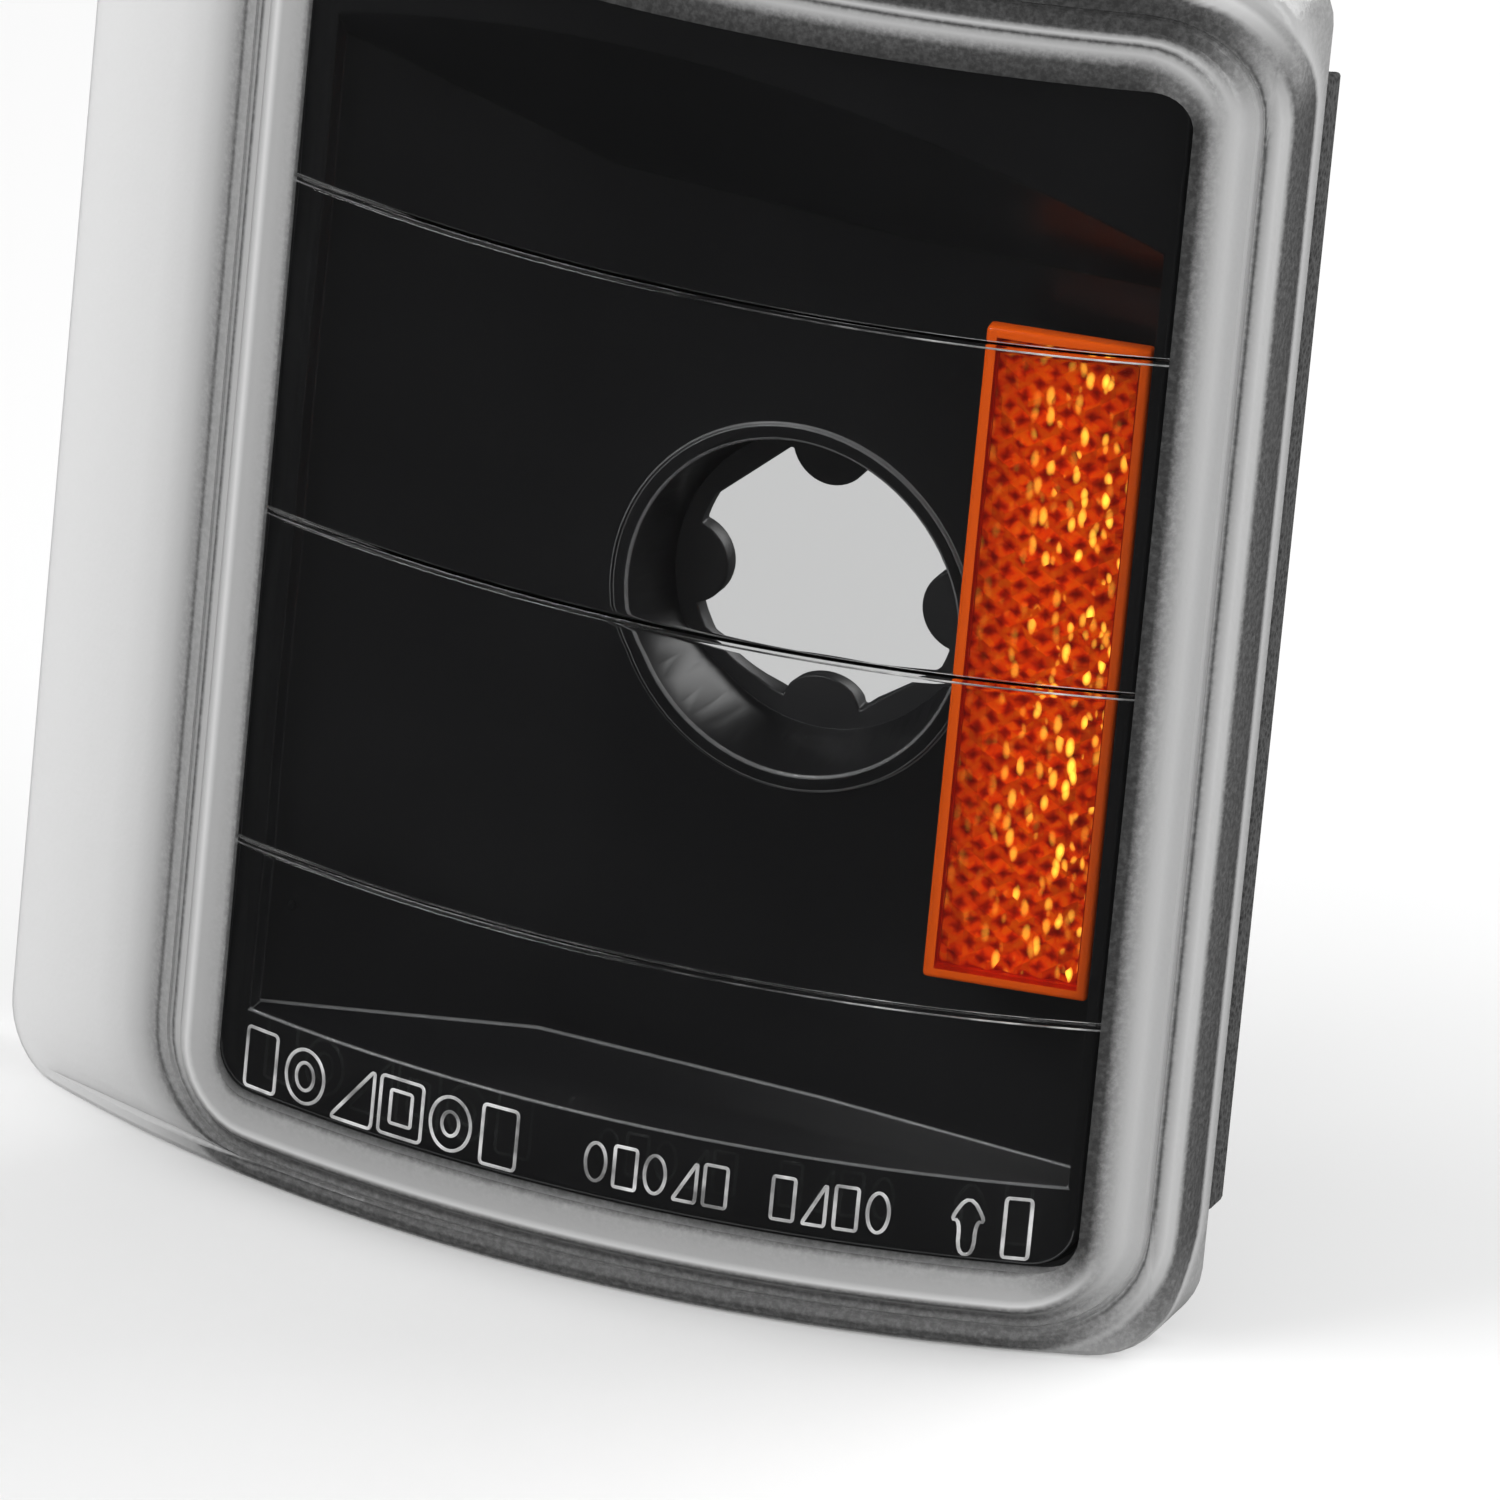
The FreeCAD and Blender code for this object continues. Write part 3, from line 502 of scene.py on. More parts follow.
def choose(piece, kind, test):
    """Select in edit mode only the faces or edges that pass a test."""
    bpy.ops.mesh.select_all(action="DESELECT")
    mesh = bmesh.from_edit_mesh(piece.data)
    for part in getattr(mesh, kind):
        if test(part):
            part.select_set(True)
    bmesh.update_edit_mesh(piece.data)


def weld(piece, gap):
    """Merge points closer than a gap and turn every face outwards."""
    pick(piece)
    bpy.ops.object.mode_set(mode="EDIT")
    bpy.ops.mesh.select_all(action="SELECT")
    bpy.ops.mesh.remove_doubles(threshold=gap)
    bpy.ops.mesh.normals_make_consistent(inside=False)
    bpy.ops.object.mode_set(mode="OBJECT")


def settle(piece, nodes, materials, angle=0.6):
    """Shade a finished piece, give it materials, and hand it to the frame."""
    pick(piece)
    bpy.ops.object.shade_smooth_by_angle(angle=angle)
    for index, material in enumerate(materials):
        if index < len(piece.data.materials):
            piece.data.materials[index] = material
        else:
            piece.data.materials.append(material)
    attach(piece, "root")
    if nodes:
        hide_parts(*nodes)
    return piece


def rounded_copy(node_name, piece_name, radius, edges_differ=False):
    """Copy of a CAD node with its loose triangles merged and its sharp edges rounded."""
    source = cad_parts[node_name]
    piece = bpy.data.objects.new(piece_name, source.data.copy())
    bpy.context.scene.collection.objects.link(piece)
    piece.data.name = piece_name
    piece.data.materials.clear()
    for _ in range(2 if edges_differ else 0):
        piece.data.materials.append(None)
    pick(piece)
    bpy.ops.object.mode_set(mode="EDIT")
    bpy.ops.mesh.select_all(action="SELECT")
    bpy.ops.mesh.remove_doubles(threshold=0.002 * MM)
    bpy.ops.mesh.dissolve_limited(angle_limit=math.radians(1.0))
    bpy.ops.object.mode_set(mode="OBJECT")
    bevel = piece.modifiers.new("edge_round", "BEVEL")
    bevel.width = radius
    bevel.segments = 3
    bevel.limit_method = "ANGLE"
    bevel.angle_limit = math.radians(30)
    bevel.use_clamp_overlap = False
    bevel.material = 1 if edges_differ else -1
    bpy.ops.object.modifier_apply(modifier="edge_round")
    return piece


# ------------------------------------------------------------------ lens outline
class Outline:
    """Rounded rectangle in the lamp's front view, reached by side or corner and a fraction."""

    def __init__(self, left, right, bottom, top, corner):
        self.low = Vector((-left + corner, -bottom + corner))
        self.high = Vector((right - corner, top - corner))
        self.corner = corner

    def grown(self, offset):
        """Same outline moved outwards."""
        copy = Outline(0, 0, 0, 0, 0)
        copy.low, copy.high, copy.corner = self.low, self.high, self.corner + offset
        return copy

    def spot(self, x, z):
        """Where a point of the boundary lies: fractions across and up, and direction outwards."""
        across = min(max((x - self.low.x) / (self.high.x - self.low.x), 0.0), 1.0)
        up = min(max((z - self.low.y) / (self.high.y - self.low.y), 0.0), 1.0)
        base = Vector((self.low.x + across * (self.high.x - self.low.x),
                       self.low.y + up * (self.high.y - self.low.y)))
        return across, up, (Vector((x, z)) - base).normalized()

    def point(self, spot):
        """Point of the boundary at a spot of another outline."""
        across, up, outward = spot
        base = Vector((self.low.x + across * (self.high.x - self.low.x),
                       self.low.y + up * (self.high.y - self.low.y)))
        return base + outward * self.corner

    def distance(self, x, z):
        """Signed distance of a point from the boundary, plus outwards."""
        inside = Vector((min(max(x, self.low.x), self.high.x), min(max(z, self.low.y), self.high.y)))
        gap = (Vector((x, z)) - inside).length
        if gap > 0:
            return gap - self.corner
        edge = max(self.low.x - x, x - self.high.x, self.low.y - z, z - self.high.y)
        return edge - self.corner


def frame_outline(lens):
    """Window frame of the lens."""
    return Outline(lens.frame_left, lens.frame_right, lens.frame_bottom, lens.frame_top, lens.frame_corner)


def window_outline(lens):
    """Clear window inside the stippled band."""
    band = lens.stipple_width
    return Outline(lens.frame_left - band, lens.frame_right - lens.stipple_right, lens.frame_bottom - band,
                   lens.frame_top - band, lens.frame_corner - band)


def outer_outline(lens):
    """Outer edge of the lens flange."""
    return Outline(-LENS_LOW.x, LENS_HIGH.x, -LENS_LOW.z, LENS_HIGH.z, lens.outer_corner)


def arc_y(lens, x, depth):
    """Y of a point at x, a depth behind the front surface of the lens."""
    axis = LENS_LOW.y + lens.radius
    return axis - math.sqrt((lens.radius - depth) ** 2 - x * x)


def flute_depth(lens, z):
    """Depth of the inner surface at a height: convex flutes that meet at beads."""
    turns = (z + lens.flute_drop) / lens.flute_pitch
    across = 2 * (turns - math.floor(turns)) - 1
    near_rib = (1 - abs(across)) * lens.flute_pitch / 2
    rib = lens.rib_rise * math.exp(-(near_rib / (0.35 * MM)) ** 2) if abs(turns) < 1.5 else 0.0
    return lens.wall + lens.flute_sag * (1 - across * across) + rib


def window_rows(lens, outline):
    """Heights of the grid's rows: by angle in the corners, closer at each rib."""
    corner_steps, straight_steps = 8, 56
    rows = set()
    for index in range(corner_steps + 1):
        rise = outline.corner * math.sin(math.pi / 2 * index / corner_steps)
        rows.update((round(outline.low.y - rise, 7), round(outline.high.y + rise, 7)))
    for index in range(straight_steps + 1):
        rows.add(round(outline.low.y + (outline.high.y - outline.low.y) * index / straight_steps, 7))
    ribs = [turn * lens.flute_pitch - lens.flute_drop for turn in (-1, 0, 1)]
    rows = {row for row in rows if all(abs(row - rib) > 1.0 * MM for rib in ribs)}
    for rib in ribs:
        rows.update(round(rib + step * 0.2 * MM, 7) for step in range(-4, 5))
    return sorted(rows)


def window_grid(name, outline, rows, depth_at):
    """Grid over the window whose edge follows the outline; its Y holds depth for now."""
    columns = 84
    deselect()
    bpy.ops.mesh.primitive_grid_add(x_subdivisions=columns, y_subdivisions=len(rows) - 1, size=1)
    piece = named(name)
    for vertex in piece.data.vertices:
        column = round((vertex.co.x + 0.5) * columns)
        z = rows[round((vertex.co.y + 0.5) * (len(rows) - 1))]
        over = max(z - outline.high.y, outline.low.y - z, 0.0)
        swell = math.sqrt(max(outline.corner ** 2 - over ** 2, 0.0))
        left, right = outline.low.x - swell, outline.high.x + swell
        x = left + (right - left) * column / columns
        vertex.co = (x, depth_at(z), z)
    return piece


def extrude_loop(piece, was, outline, depth_at):
    """Extrude the open edge and lay the new loop on an outline at a depth."""
    bpy.ops.mesh.extrude_region_move()
    mesh = bmesh.from_edit_mesh(piece.data)
    for vertex in mesh.verts:
        if vertex.select:
            spot = was.spot(vertex.co.x, vertex.co.z)
            x, z = outline.point(spot)
            vertex.co = (x, depth_at(z), z)
    bmesh.update_edit_mesh(piece.data)


def lens_loops(lens):
    """Section of the lens border from the window's edge, round the skirt and tongue, to the inside."""
    frame_line, edge = frame_outline(lens), outer_outline(lens)
    inner = lens.step + lens.wall
    tongue = lens.tongue_half
    tip = inner + lens.tongue_depth
    skirt = lens.step + lens.skirt_depth
    front = [(frame_line, -1.8, 0.0), (frame_line, -1.0, 0.0), (frame_line, -0.2, 0.03),
             (frame_line, 0.4, 0.2), (frame_line, 0.85, 0.6), (frame_line, 1.15, 1.2),
             (frame_line, 1.5, 1.68), (frame_line, 2.0, 1.8), (frame_line, 2.6, 1.8),
             (frame_line, 2.8, 2.1), (frame_line, 3.1, 2.1),
             (frame_line, 3.3, 1.8), (edge, -1.7, 1.8), (edge, -0.8, 1.85), (edge, -0.25, 2.2),
             (edge, 0.0, 2.9), (edge, 0.0, 6.0)]
    loops = [(outline.grown(offset * MM), depth * MM) for outline, offset, depth in front]
    round_over = 0.4 * MM
    loops += [(edge, skirt - round_over), (edge.grown(-round_over), skirt),
              (edge.grown(-1.8 * MM), skirt), (edge.grown(-2.2 * MM), skirt - round_over),
              (edge.grown(-2.2 * MM), inner + 0.6 * MM), (edge.grown(-2.6 * MM), inner),
              (frame_line.grown(tongue + 0.5 * MM), inner), (frame_line.grown(tongue), inner + 0.4 * MM),
              (frame_line.grown(tongue), tip - round_over), (frame_line.grown(tongue - round_over), tip),
              (frame_line.grown(-tongue + round_over), tip), (frame_line.grown(-tongue), tip - round_over),
              (frame_line.grown(-tongue), lens.wall + 0.6 * MM),
              (frame_line.grown(-tongue - 0.5 * MM), lens.wall),
              (frame_line.grown(-1.9 * MM), lens.wall)]
    return loops


def wrap_on_arc(piece, lens):
    """Turn each vertex's depth in Y into its place on the lens arc."""
    for vertex in piece.data.vertices:
        vertex.co.y = arc_y(lens, vertex.co.x, vertex.co.y)


class LAMP_OT_lens(bpy.types.Operator):
    """Model the clear lens: fluted window, stippled frame, flange, tongue and skirt"""
    bl_idname = "lamp.lens"
    bl_label = "Clear lens"

    def execute(self, context):
        lens = context.scene.lamp_lens
        window = window_outline(lens)
        rows = window_rows(lens, window)
        inside = window_grid("lens_inside", window, rows, lambda z: flute_depth(lens, z))
        piece = window_grid("clear_lens", window, rows, lambda z: 0.0)
        bpy.ops.object.mode_set(mode="EDIT")
        bpy.ops.mesh.select_mode(type="EDGE")
        bpy.ops.mesh.select_all(action="DESELECT")
        bpy.ops.mesh.select_non_manifold()
        was = window
        for outline, depth in lens_loops(lens):
            extrude_loop(piece, was, outline, lambda z, depth=depth: depth)
            was = outline
        extrude_loop(piece, was, window, lambda z: flute_depth(lens, z))
        bpy.ops.object.mode_set(mode="OBJECT")
        pick(piece)
        inside.select_set(True)
        bpy.ops.object.join()
        weld(piece, 0.01 * MM)
        self.mark_zones(piece, lens)
        wrap_on_arc(piece, lens)
        clear = polished_acrylic("clear_acrylic", lens.tint, 0.015, 60.0, 1.0, 0.03, 0.0004)
        settle(piece, ["lens"], [clear, painted_border_plastic()], 0.5)
        return {"FINISHED"}

    def mark_zones(self, piece, lens):
        """Window faces stay clear; the border notes how far out and on which side each point is."""
        frame_line, edge, window = frame_outline(lens), outer_outline(lens), window_outline(lens)
        mesh = piece.data
        reach = mesh.attributes.new("reach", "FLOAT", "POINT")
        sides = mesh.attributes.new("sides", "FLOAT_COLOR", "POINT")
        for vertex in mesh.vertices:
            x, z = vertex.co.x, vertex.co.z
            out = frame_line.distance(x, z)
            if edge.distance(x, z) > -0.3 * MM:
                out += 0.5 * max(vertex.co.y - lens.step, 0.0)
            reach.data[vertex.index].value = (out / MM - BAND_START) / BAND_SPAN
            # The side weights choose which side's painted light and shade bands a point takes.
            way = frame_line.spot(x, z)[2]
            sides.data[vertex.index].color = (max(way.x, 0) ** 2, max(way.y, 0) ** 2, max(-way.x, 0) ** 2, 1)
        for face in mesh.polygons:
            face.material_index = 0 if window.distance(face.center.x, face.center.z) < 0.01 * MM else 1


def bead(name, path, lens, radius, depth):
    """Thin round line on the lens arc along a path of (x, z) points."""
    deselect()
    bpy.ops.mesh.primitive_grid_add(x_subdivisions=len(path) - 1, y_subdivisions=6, size=1)
    piece = named(name)
    last = len(path) - 1
    for vertex in piece.data.vertices:
        index = round((vertex.co.x + 0.5) * last)
        turn = 2 * math.pi * (vertex.co.y + 0.5)
        closed = (path[0] - path[-1]).length < 0.001 * MM
        before = path[index - 1] if index else (path[-2] if closed else path[0])
        after = path[index + 1] if index < last else (path[1] if closed else path[-1])
        along = (after - before).normalized()
        x = path[index].x - along.y * radius * math.cos(turn)
        z = path[index].y + along.x * radius * math.cos(turn)
        vertex.co = (x, arc_y(lens, x, depth) + radius * math.sin(turn), z)
    return piece


def rounded(points, passes=2):
    """Closed path with its corners cut round."""
    for _ in range(passes):
        cut = []
        for here, after in zip(points, points[1:] + points[:1]):
            cut += [here.lerp(after, 0.25), here.lerp(after, 0.75)]
        points = cut
    return points + points[:1]


def polygon(x, z, width, height, shape):
    """Closed rounded path of a unit shape, scaled about a place on the lens."""
    return rounded([Vector((x + width * u, z + height * v)) for u, v in shape])


# Unit outlines of the marks.
BAR = ((-0.5, -0.5), (-0.25, -0.5), (0.25, -0.5), (0.5, -0.5), (0.5, -0.3), (0.5, 0.3), (0.5, 0.5),
       (0.25, 0.5), (-0.25, 0.5), (-0.5, 0.5), (-0.5, 0.3), (-0.5, -0.3))
ARROW = ((-0.22, -0.5), (0.22, -0.5), (0.22, 0.05), (0.5, 0.05), (0.0, 0.5), (-0.5, 0.05), (-0.22, 0.05))
WEDGE = ((-0.5, -0.5), (-0.3, -0.5), (0.3, -0.5), (0.5, -0.5), (0.5, -0.2), (0.5, 0.3), (0.5, 0.5),
         (0.3, 0.3), (-0.3, -0.3))
RING = tuple((0.5 * math.cos(math.pi * step / 4), 0.5 * math.sin(math.pi * step / 4)) for step in range(8))


# Marks from left to right: place, width and height in mm, and shape.
MARK_ROW = [(-31.5, 3.6, 6.4, BAR), (-26.2, 4.8, 6.2, RING), (-20.6, 4.8, 6.4, WEDGE), (-15.0, 4.8, 6.2, BAR),
            (-9.4, 4.8, 6.2, RING), (-4.0, 3.8, 6.4, BAR), (-9.4, 2.0, 2.8, RING), (-15.0, 2.4, 3.6, BAR),
            (-26.2, 2.2, 3.2, RING)]
MARK_ROW += [(6.4 + 3.1 * step, 2.3, 4.4, shape) for step, shape in enumerate((RING, BAR, RING, WEDGE, BAR))]
MARK_ROW += [(25.6 + 3.1 * step, 2.2, 4.6, shape) for step, shape in enumerate((BAR, WEDGE, BAR, RING))]
MARK_ROW += [(43.4, 3.4, 6.6, ARROW), (48.0, 2.4, 6.4, BAR)]


class LAMP_OT_marks(bpy.types.Operator):
    """Lay the ribs' edges, bright with painted highlights, and the row of plain moulded shapes along the
    bottom of the lens
    """
    bl_idname = "lamp.marks"
    bl_label = "Ribs and marks"

    def execute(self, context):
        lens = context.scene.lamp_lens
        pieces = []
        for turn in (-1, 0, 1):
            for shift, radius in ((0.25 * MM, 0.06 * MM), (-0.35 * MM, 0.10 * MM)):
                height = turn * lens.flute_pitch - lens.flute_drop + shift
                left, right = -lens.frame_left + 1.0 * MM, lens.frame_right - 1.0 * MM
                path = [Vector((left + (right - left) * step / 60, height)) for step in range(61)]
                pieces.append(bead("rib_edge", path, lens, radius, lens.wall + lens.rib_rise + radius))
        for x, width, height, shape in MARK_ROW:
            path = polygon(x * MM, -lens.mark_drop, width * MM, height * MM, shape)
            pieces.append(bead("mark", path, lens, lens.mark_line, 0.0))
        pick(pieces[0])
        for piece in pieces:
            piece.select_set(True)
        bpy.ops.object.join()
        lines = bpy.context.active_object
        lines.name = lines.data.name = "raised_lines"
        weld(lines, 0.002 * MM)
        marks_top = 6.2 * MM - lens.mark_drop
        settle(lines, [], [highlighted_line_plastic(-lens.frame_left, lens.frame_right, marks_top)], 1.0)
        return {"FINISHED"}


# ------------------------------------------------------------------ black pieces
class LAMP_OT_liner(bpy.types.Operator):
    """Round the moulded edges of the black liner, give it satin black plastic, and paint a lighter grey
    highlight on the rounded edges low on the floor and round the port lip
    """
    bl_idname = "lamp.liner"
    bl_label = "Black liner"

    def execute(self, context):
        interior = context.scene.lamp_interior
        piece = rounded_copy("inner_liner", "folded_liner", interior.edge_round, edges_differ=True)
        port = Vector((interior.port_place, -interior.port_drop))
        # Painted highlight: only rounded edges low on the floor and round the port lip keep the lighter edge
        # grey; all other faces go back to black.
        for face in piece.data.polygons:
            low = face.center.z < -interior.floor_top and abs(face.normal.x) < 0.6
            lip = (Vector((face.center.x, face.center.z)) - port).length < interior.lip_reach
            if not low and not lip:
                face.material_index = 0
        black = grained_plastic("satin_black", interior.black, 0.30, 500.0, 0.05, 0.10)
        edge = grained_plastic("polished_edge", interior.edge_highlight_grey, 0.22, 300.0, 0.05, 0.10)
        settle(piece, ["inner_liner"], [black, edge])
        return {"FINISHED"}


class LAMP_OT_housing(bpy.types.Operator):
    """Round the moulded edges of the housing and give it grained black plastic"""
    bl_idname = "lamp.housing"
    bl_label = "Rear housing"

    def execute(self, context):
        interior = context.scene.lamp_interior
        piece = rounded_copy("rear_housing", "back_housing", interior.edge_round)
        black = grained_plastic("grained_black", interior.shell_black, 0.45, 900.0, 0.35)
        settle(piece, ["rear_housing"], [black])
        return {"FINISHED"}


# ------------------------------------------------------------------ reflector
def reflex_matrix(lens, reflex):
    """Place of the reflector, with X across its face and Y into the lamp."""
    centre = Vector((reflex.place, arc_y(lens, reflex.place, lens.wall) + reflex.face_gap, -reflex.drop))
    return Matrix.Translation(centre) @ Matrix.Rotation(math.radians(reflex.turn), 4, "Z")


def trim(piece, half_width, half_height):
    """Cut the flat sheet of cells to a rectangle."""
    pick(piece)
    for direction, reach in (((1, 0, 0), half_width), ((-1, 0, 0), half_width),
                             ((0, 0, 1), half_height), ((0, 0, -1), half_height)):
        bpy.ops.object.mode_set(mode="EDIT")
        bpy.ops.mesh.select_all(action="SELECT")
        bpy.ops.mesh.bisect(plane_co=Vector(direction) * reach, plane_no=direction, clear_outer=True)
        bpy.ops.object.mode_set(mode="OBJECT")


class LAMP_OT_reflex(bpy.types.Operator):
    """Model the amber reflector: a moulded cover over hexagonal prism cells"""
    bl_idname = "lamp.reflex"
    bl_label = "Amber reflector"

    def execute(self, context):
        lens, reflex = context.scene.lamp_lens, context.scene.lamp_reflex
        place = reflex_matrix(lens, reflex)
        cover = self.make_cover(reflex)
        cover.data.transform(place)
        amber = polished_acrylic("amber_acrylic", reflex.amber, 0.03, 220.0, 2.0, 0.05, 0.0003)
        rim = plain_grained("amber_rim", reflex.rim_amber, 0.12, 500.0, 0.14, 0.2, 0.05, 0.0001)
        settle(cover, ["reflex_reflector"], [amber, rim])
        cells = self.make_cells(reflex)
        cells.data.transform(place)
        prisms = prism_material(reflex.glints_left, reflex.glints_right)
        settle(cells, [], [prisms], 0.1)
        return {"FINISHED"}

    def make_cover(self, reflex):
        """Shallow amber tray: flat rim, slightly raised face, rounded edges, hollow behind."""
        deselect()
        bpy.ops.mesh.primitive_cube_add(size=1, location=(0, reflex.depth / 2, 0))
        cover = named("amber_cover")
        bpy.ops.object.mode_set(mode="EDIT")
        bpy.ops.transform.resize(value=(reflex.width, reflex.depth, reflex.height))
        bpy.ops.object.mode_set(mode="OBJECT")
        bpy.ops.object.transform_apply(location=True, rotation=False, scale=False)
        bpy.ops.object.mode_set(mode="EDIT")
        choose(cover, "faces", lambda face: face.normal.y > 0.9)
        bpy.ops.mesh.inset(thickness=1.3 * MM)
        bpy.ops.mesh.extrude_region_move(TRANSFORM_OT_translate={"value": (0, -1.2 * MM, 0)})
        choose(cover, "faces", lambda face: face.normal.y < -0.9)
        bpy.ops.mesh.inset(thickness=reflex.rim)
        middle = lambda edge: edge.verts[0].co.lerp(edge.verts[1].co, 0.5)
        choose(cover, "edges", lambda edge: self.at_side(middle(edge), reflex, 0.0))
        bpy.ops.mesh.bevel(offset=0.5 * MM, segments=3, affect="EDGES")
        bpy.ops.object.mode_set(mode="OBJECT")
        for face in cover.data.polygons:
            face.material_index = 1 if self.at_side(face.center, reflex, reflex.rim) else 0
        return cover

    def at_side(self, spot, reflex, rim):
        """Whether a spot lies in the rim along the cover's four sides."""
        close = rim + 0.05 * MM
        return abs(spot.x) > reflex.width / 2 - close or abs(spot.z) > reflex.height / 2 - close

    def make_cells(self, reflex):
        """Sheet of corner-cube cells: six triangles folded to three square faces, repeated."""
        side = reflex.pitch / math.sqrt(3)
        deselect()
        bpy.ops.mesh.primitive_circle_add(vertices=6, radius=side, fill_type="TRIFAN",
                                          rotation=(math.pi / 2, 0, 0))
        cells = named("prism_cells")
        bpy.ops.object.transform_apply(location=False, rotation=True, scale=False)
        full = side * math.sqrt(2)
        for vertex in cells.data.vertices:
            if vertex.co.length < 0.1 * side:
                vertex.co.y = full
                continue
            sector = round((math.atan2(vertex.co.z, vertex.co.x) / (math.pi / 3)) - 0.5) % 2
            vertex.co.y = full * (0.5 if sector else 0.0) * 0.999
        across = math.ceil(reflex.width / reflex.pitch) + 2
        up = math.ceil(reflex.height / (3 * side)) + 2
        for label, count, step in (("across", across, (reflex.pitch, 0, 0)),
                                   ("stagger", 2, (reflex.pitch / 2, 0, 1.5 * side)),
                                   ("up", up, (0, 0, 3 * side))):
            array = cells.modifiers.new(label, "ARRAY")
            array.use_relative_offset = False
            array.use_constant_offset = True
            array.constant_offset_displace = step
            array.count = count
            array.use_merge_vertices = True
            array.merge_threshold = 0.01 * MM
            bpy.ops.object.modifier_apply(modifier=label)
        corner = Vector((-(across - 1) * reflex.pitch / 2 - reflex.pitch / 4, 0.62 * reflex.depth,
                         -up * 1.5 * side))
        cells.data.transform(Matrix.Translation(corner) @ Matrix.Scale(0.28, 4, (0, 1, 0)))
        rim = 1.35 * MM
        trim(cells, reflex.width / 2 - rim, reflex.height / 2 - rim)
        return cells


# ------------------------------------------------------------------ fittings
class LAMP_OT_fittings(bpy.types.Operator):
    """Give the seal, grommet, caps, foam, tape, studs and screws their rounded edges and finishes"""
    bl_idname = "lamp.fittings"
    bl_label = "Fittings"

    def execute(self, context):
        rubber = grained_plastic("matt_rubber", (0.018, 0.018, 0.018), 0.72, 1200.0, 0.5)
        butyl = grained_plastic("butyl_bead", (0.008, 0.008, 0.008), 0.5, 350.0, 0.4)
        tape = grained_plastic("tape_edge", (0.05, 0.05, 0.05), 0.8, 2000.0, 0.6)
        backing = grained_plastic("amber_backing", (0.35, 0.045, 0.003), 0.25, 700.0, 0.1)
        foam, zinc = foam_material(), zinc_material()
        felt = plain_grained("white_felt", (0.78, 0.78, 0.75), 0.9, 2500.0, 0.9, 0.1, 0.6, 0.0001)
        fine, soft = 0.2 * MM, 0.5 * MM
        rows = [("lens_seal", "butyl_ring", fine, "butyl", butyl),
                ("locator_grommet", "panel_grommet", soft, "soft_rubber", rubber),
                ("vent_caps", "breather_caps", soft, "soft_rubber", rubber),
                ("stud_seals", "stud_seal_rings", fine, "soft_rubber", rubber),
                ("screw_seals", "screw_seal_rings", fine, "soft_rubber", rubber),
                ("foam_strip_top", "foam_top", soft, "gasket_foam", foam),
                ("foam_strip_bottom", "foam_bottom", soft, "gasket_foam", foam),
                ("foam_strip_side", "foam_side", soft, "gasket_foam", foam),
                ("mounting_studs", "studs", soft, "zinc_steel", zinc),
                ("liner_screws", "liner_fixings", soft, "zinc_steel", zinc),
                ("reflex_backing", "reflex_plate", fine, "amber_backing", backing)]
        for source, name, radius, slot, material in rows:
            settle(rounded_copy(source, name, radius), [source], [material])
        for source, material in (("reflex_tape", tape), ("vent_membranes", felt)):
            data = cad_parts[source].data
            data.materials.clear()
            data.materials.append(material)
        return {"FINISHED"}


# ------------------------------------------------------------------ stage
def area_light(name, place, aim, size, power, tone=(1, 1, 1)):
    """Rectangular soft light that faces a point."""
    light = bpy.data.lights.new(name, "AREA")
    light.shape = "RECTANGLE"
    light.size, light.size_y = size
    light.energy = power
    light.color = tone
    lamp = bpy.data.objects.new(name, light)
    bpy.context.scene.collection.objects.link(lamp)
    lamp.location = place
    lamp.rotation_euler = (Vector(aim) - Vector(place)).to_track_quat("-Z", "Y").to_euler()
    return lamp


VIEW_TARGET = Vector((15.0 * MM, -20.4 * MM, -15.9 * MM))


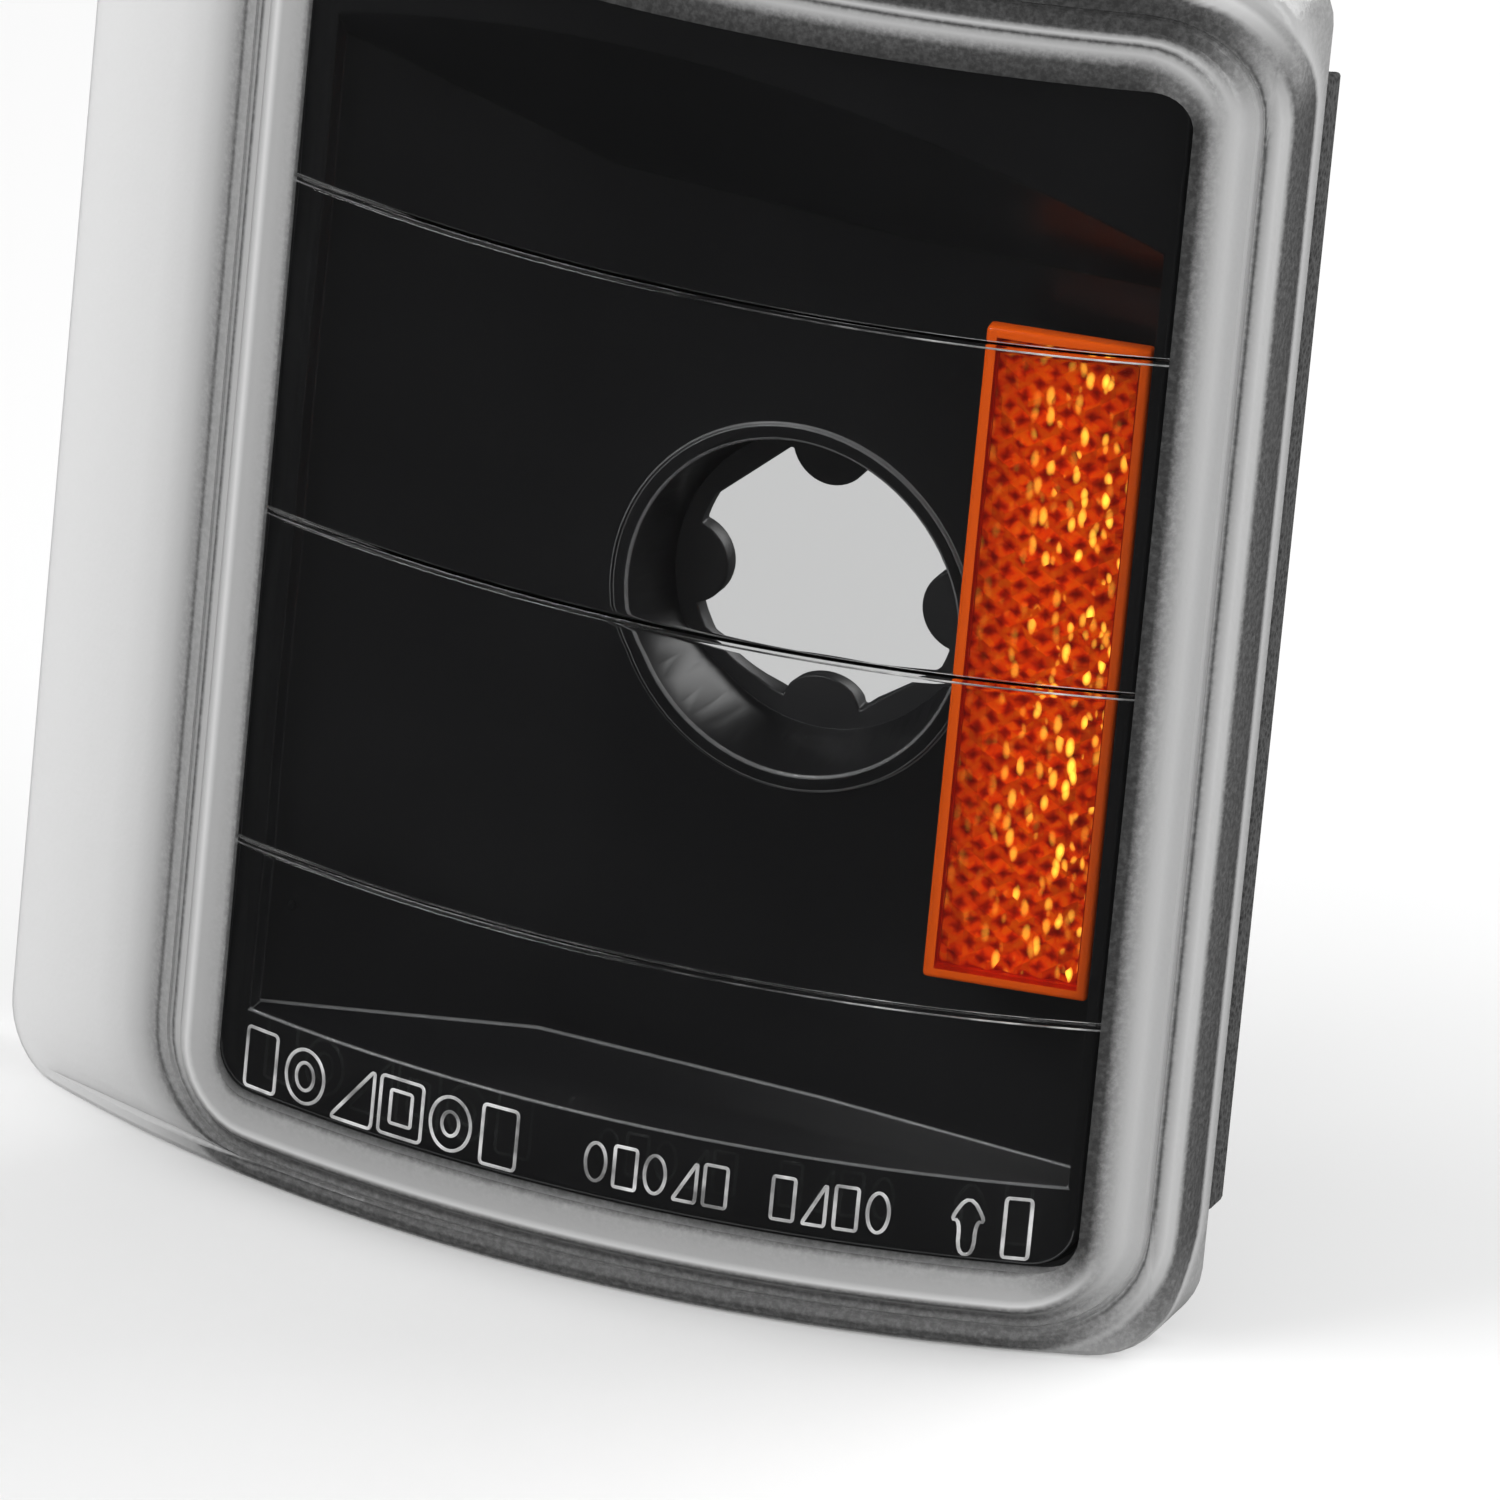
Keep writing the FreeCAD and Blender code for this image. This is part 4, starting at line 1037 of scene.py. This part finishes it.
class LAMP_OT_stage(bpy.types.Operator):
    """Set the pale floor, the soft lights and the camera"""
    bl_idname = "lamp.stage"
    bl_label = "Floor, lights and camera"

    def execute(self, context):
        stage = context.scene.lamp_stage
        deselect()
        bpy.ops.mesh.primitive_plane_add(size=8, location=(0, 0, LENS_LOW.z))
        floor = named("floor")
        bpy.ops.object.transform_apply(location=True, rotation=False, scale=False)
        floor.data.materials.append(floor_material(stage.floor_tone))
        world = bpy.data.worlds.new("soft_room")
        context.scene.world = world
        world.use_nodes = True
        self.light_room(world.node_tree)
        aim = (0.0, 0.0, 0.0)
        area_light("key_left", (-0.55, -0.55, 0.75), aim, (0.5, 0.5), 5.5)
        area_light("fill_right", (0.8, -0.2, 0.35), aim, (0.35, 0.7), 3.0)
        area_light("back_right", (0.55, 0.68, 0.52), aim, (0.7, 0.7), 7.0)
        self.make_camera(context.scene, stage)
        context.scene.view_settings.view_transform = "Standard"
        return {"FINISHED"}

    def light_room(self, tree):
        """White room that lights the lamp evenly but stays dim in its reflections."""
        white = tree.nodes["Background"]
        white.inputs["Color"].default_value = (1, 1, 1, 1)
        white.inputs["Strength"].default_value = 0.5
        dim = node(tree, "Background", Color=(1, 1, 1, 1), Strength=0.03)
        room = mixed_shader(tree, bounced(tree, "Glossy"), white.outputs[0], dim.outputs[0])
        feed(tree, tree.nodes["World Output"].inputs["Surface"], room)

    def make_camera(self, scene, stage):
        """Camera at the lamp's three-quarter view, rolled a little."""
        data = bpy.data.cameras.new("view")
        camera = bpy.data.objects.new("view", data)
        scene.collection.objects.link(camera)
        turn, rise = math.radians(stage.azimuth), math.radians(stage.elevation)
        away = Vector((math.sin(turn) * math.cos(rise), -math.cos(turn) * math.cos(rise), math.sin(rise)))
        camera.location = VIEW_TARGET + away * stage.distance
        look = (-away).to_track_quat("-Z", "Y").to_matrix().to_4x4()
        camera.rotation_euler = (look @ Matrix.Rotation(math.radians(stage.roll), 4, "Z")).to_euler()
        data.lens = data.sensor_width * stage.distance / stage.field
        data.clip_start, data.clip_end = 0.01, 30
        scene.camera = camera


# ------------------------------------------------------------------ panel and start
OPERATORS = (LAMP_OT_lens, LAMP_OT_marks, LAMP_OT_liner, LAMP_OT_housing, LAMP_OT_reflex, LAMP_OT_fittings,
             LAMP_OT_stage)


class LAMP_PT_panel(bpy.types.Panel):
    """Steps that build the lamp's looks"""
    bl_idname = "LAMP_PT_panel"
    bl_label = "Corner marker lamp"
    bl_space_type = "VIEW_3D"
    bl_region_type = "UI"
    bl_category = "Lamp"

    def draw(self, context):
        for operator in OPERATORS:
            self.layout.operator(operator.bl_idname)
        for name in SETTINGS:
            box = self.layout.box()
            group = getattr(context.scene, name)
            for label in group.__annotations__:
                box.prop(group, label)


def register():
    """Register the settings, operators and panel."""
    for name, settings in SETTINGS.items():
        bpy.utils.register_class(settings)
        setattr(bpy.types.Scene, name, PointerProperty(type=settings))
    for operator in OPERATORS:
        bpy.utils.register_class(operator)
    bpy.utils.register_class(LAMP_PT_panel)


def unregister():
    """Undo what register did."""
    bpy.utils.unregister_class(LAMP_PT_panel)
    for operator in reversed(OPERATORS):
        bpy.utils.unregister_class(operator)
    for name, settings in SETTINGS.items():
        delattr(bpy.types.Scene, name)
        bpy.utils.unregister_class(settings)


def main():
    """Build every piece."""
    register()
    bpy.ops.lamp.lens()
    bpy.ops.lamp.marks()
    bpy.ops.lamp.liner()
    bpy.ops.lamp.housing()
    bpy.ops.lamp.reflex()
    bpy.ops.lamp.fittings()
    bpy.ops.lamp.stage()


if __name__ == "__main__":
    main()
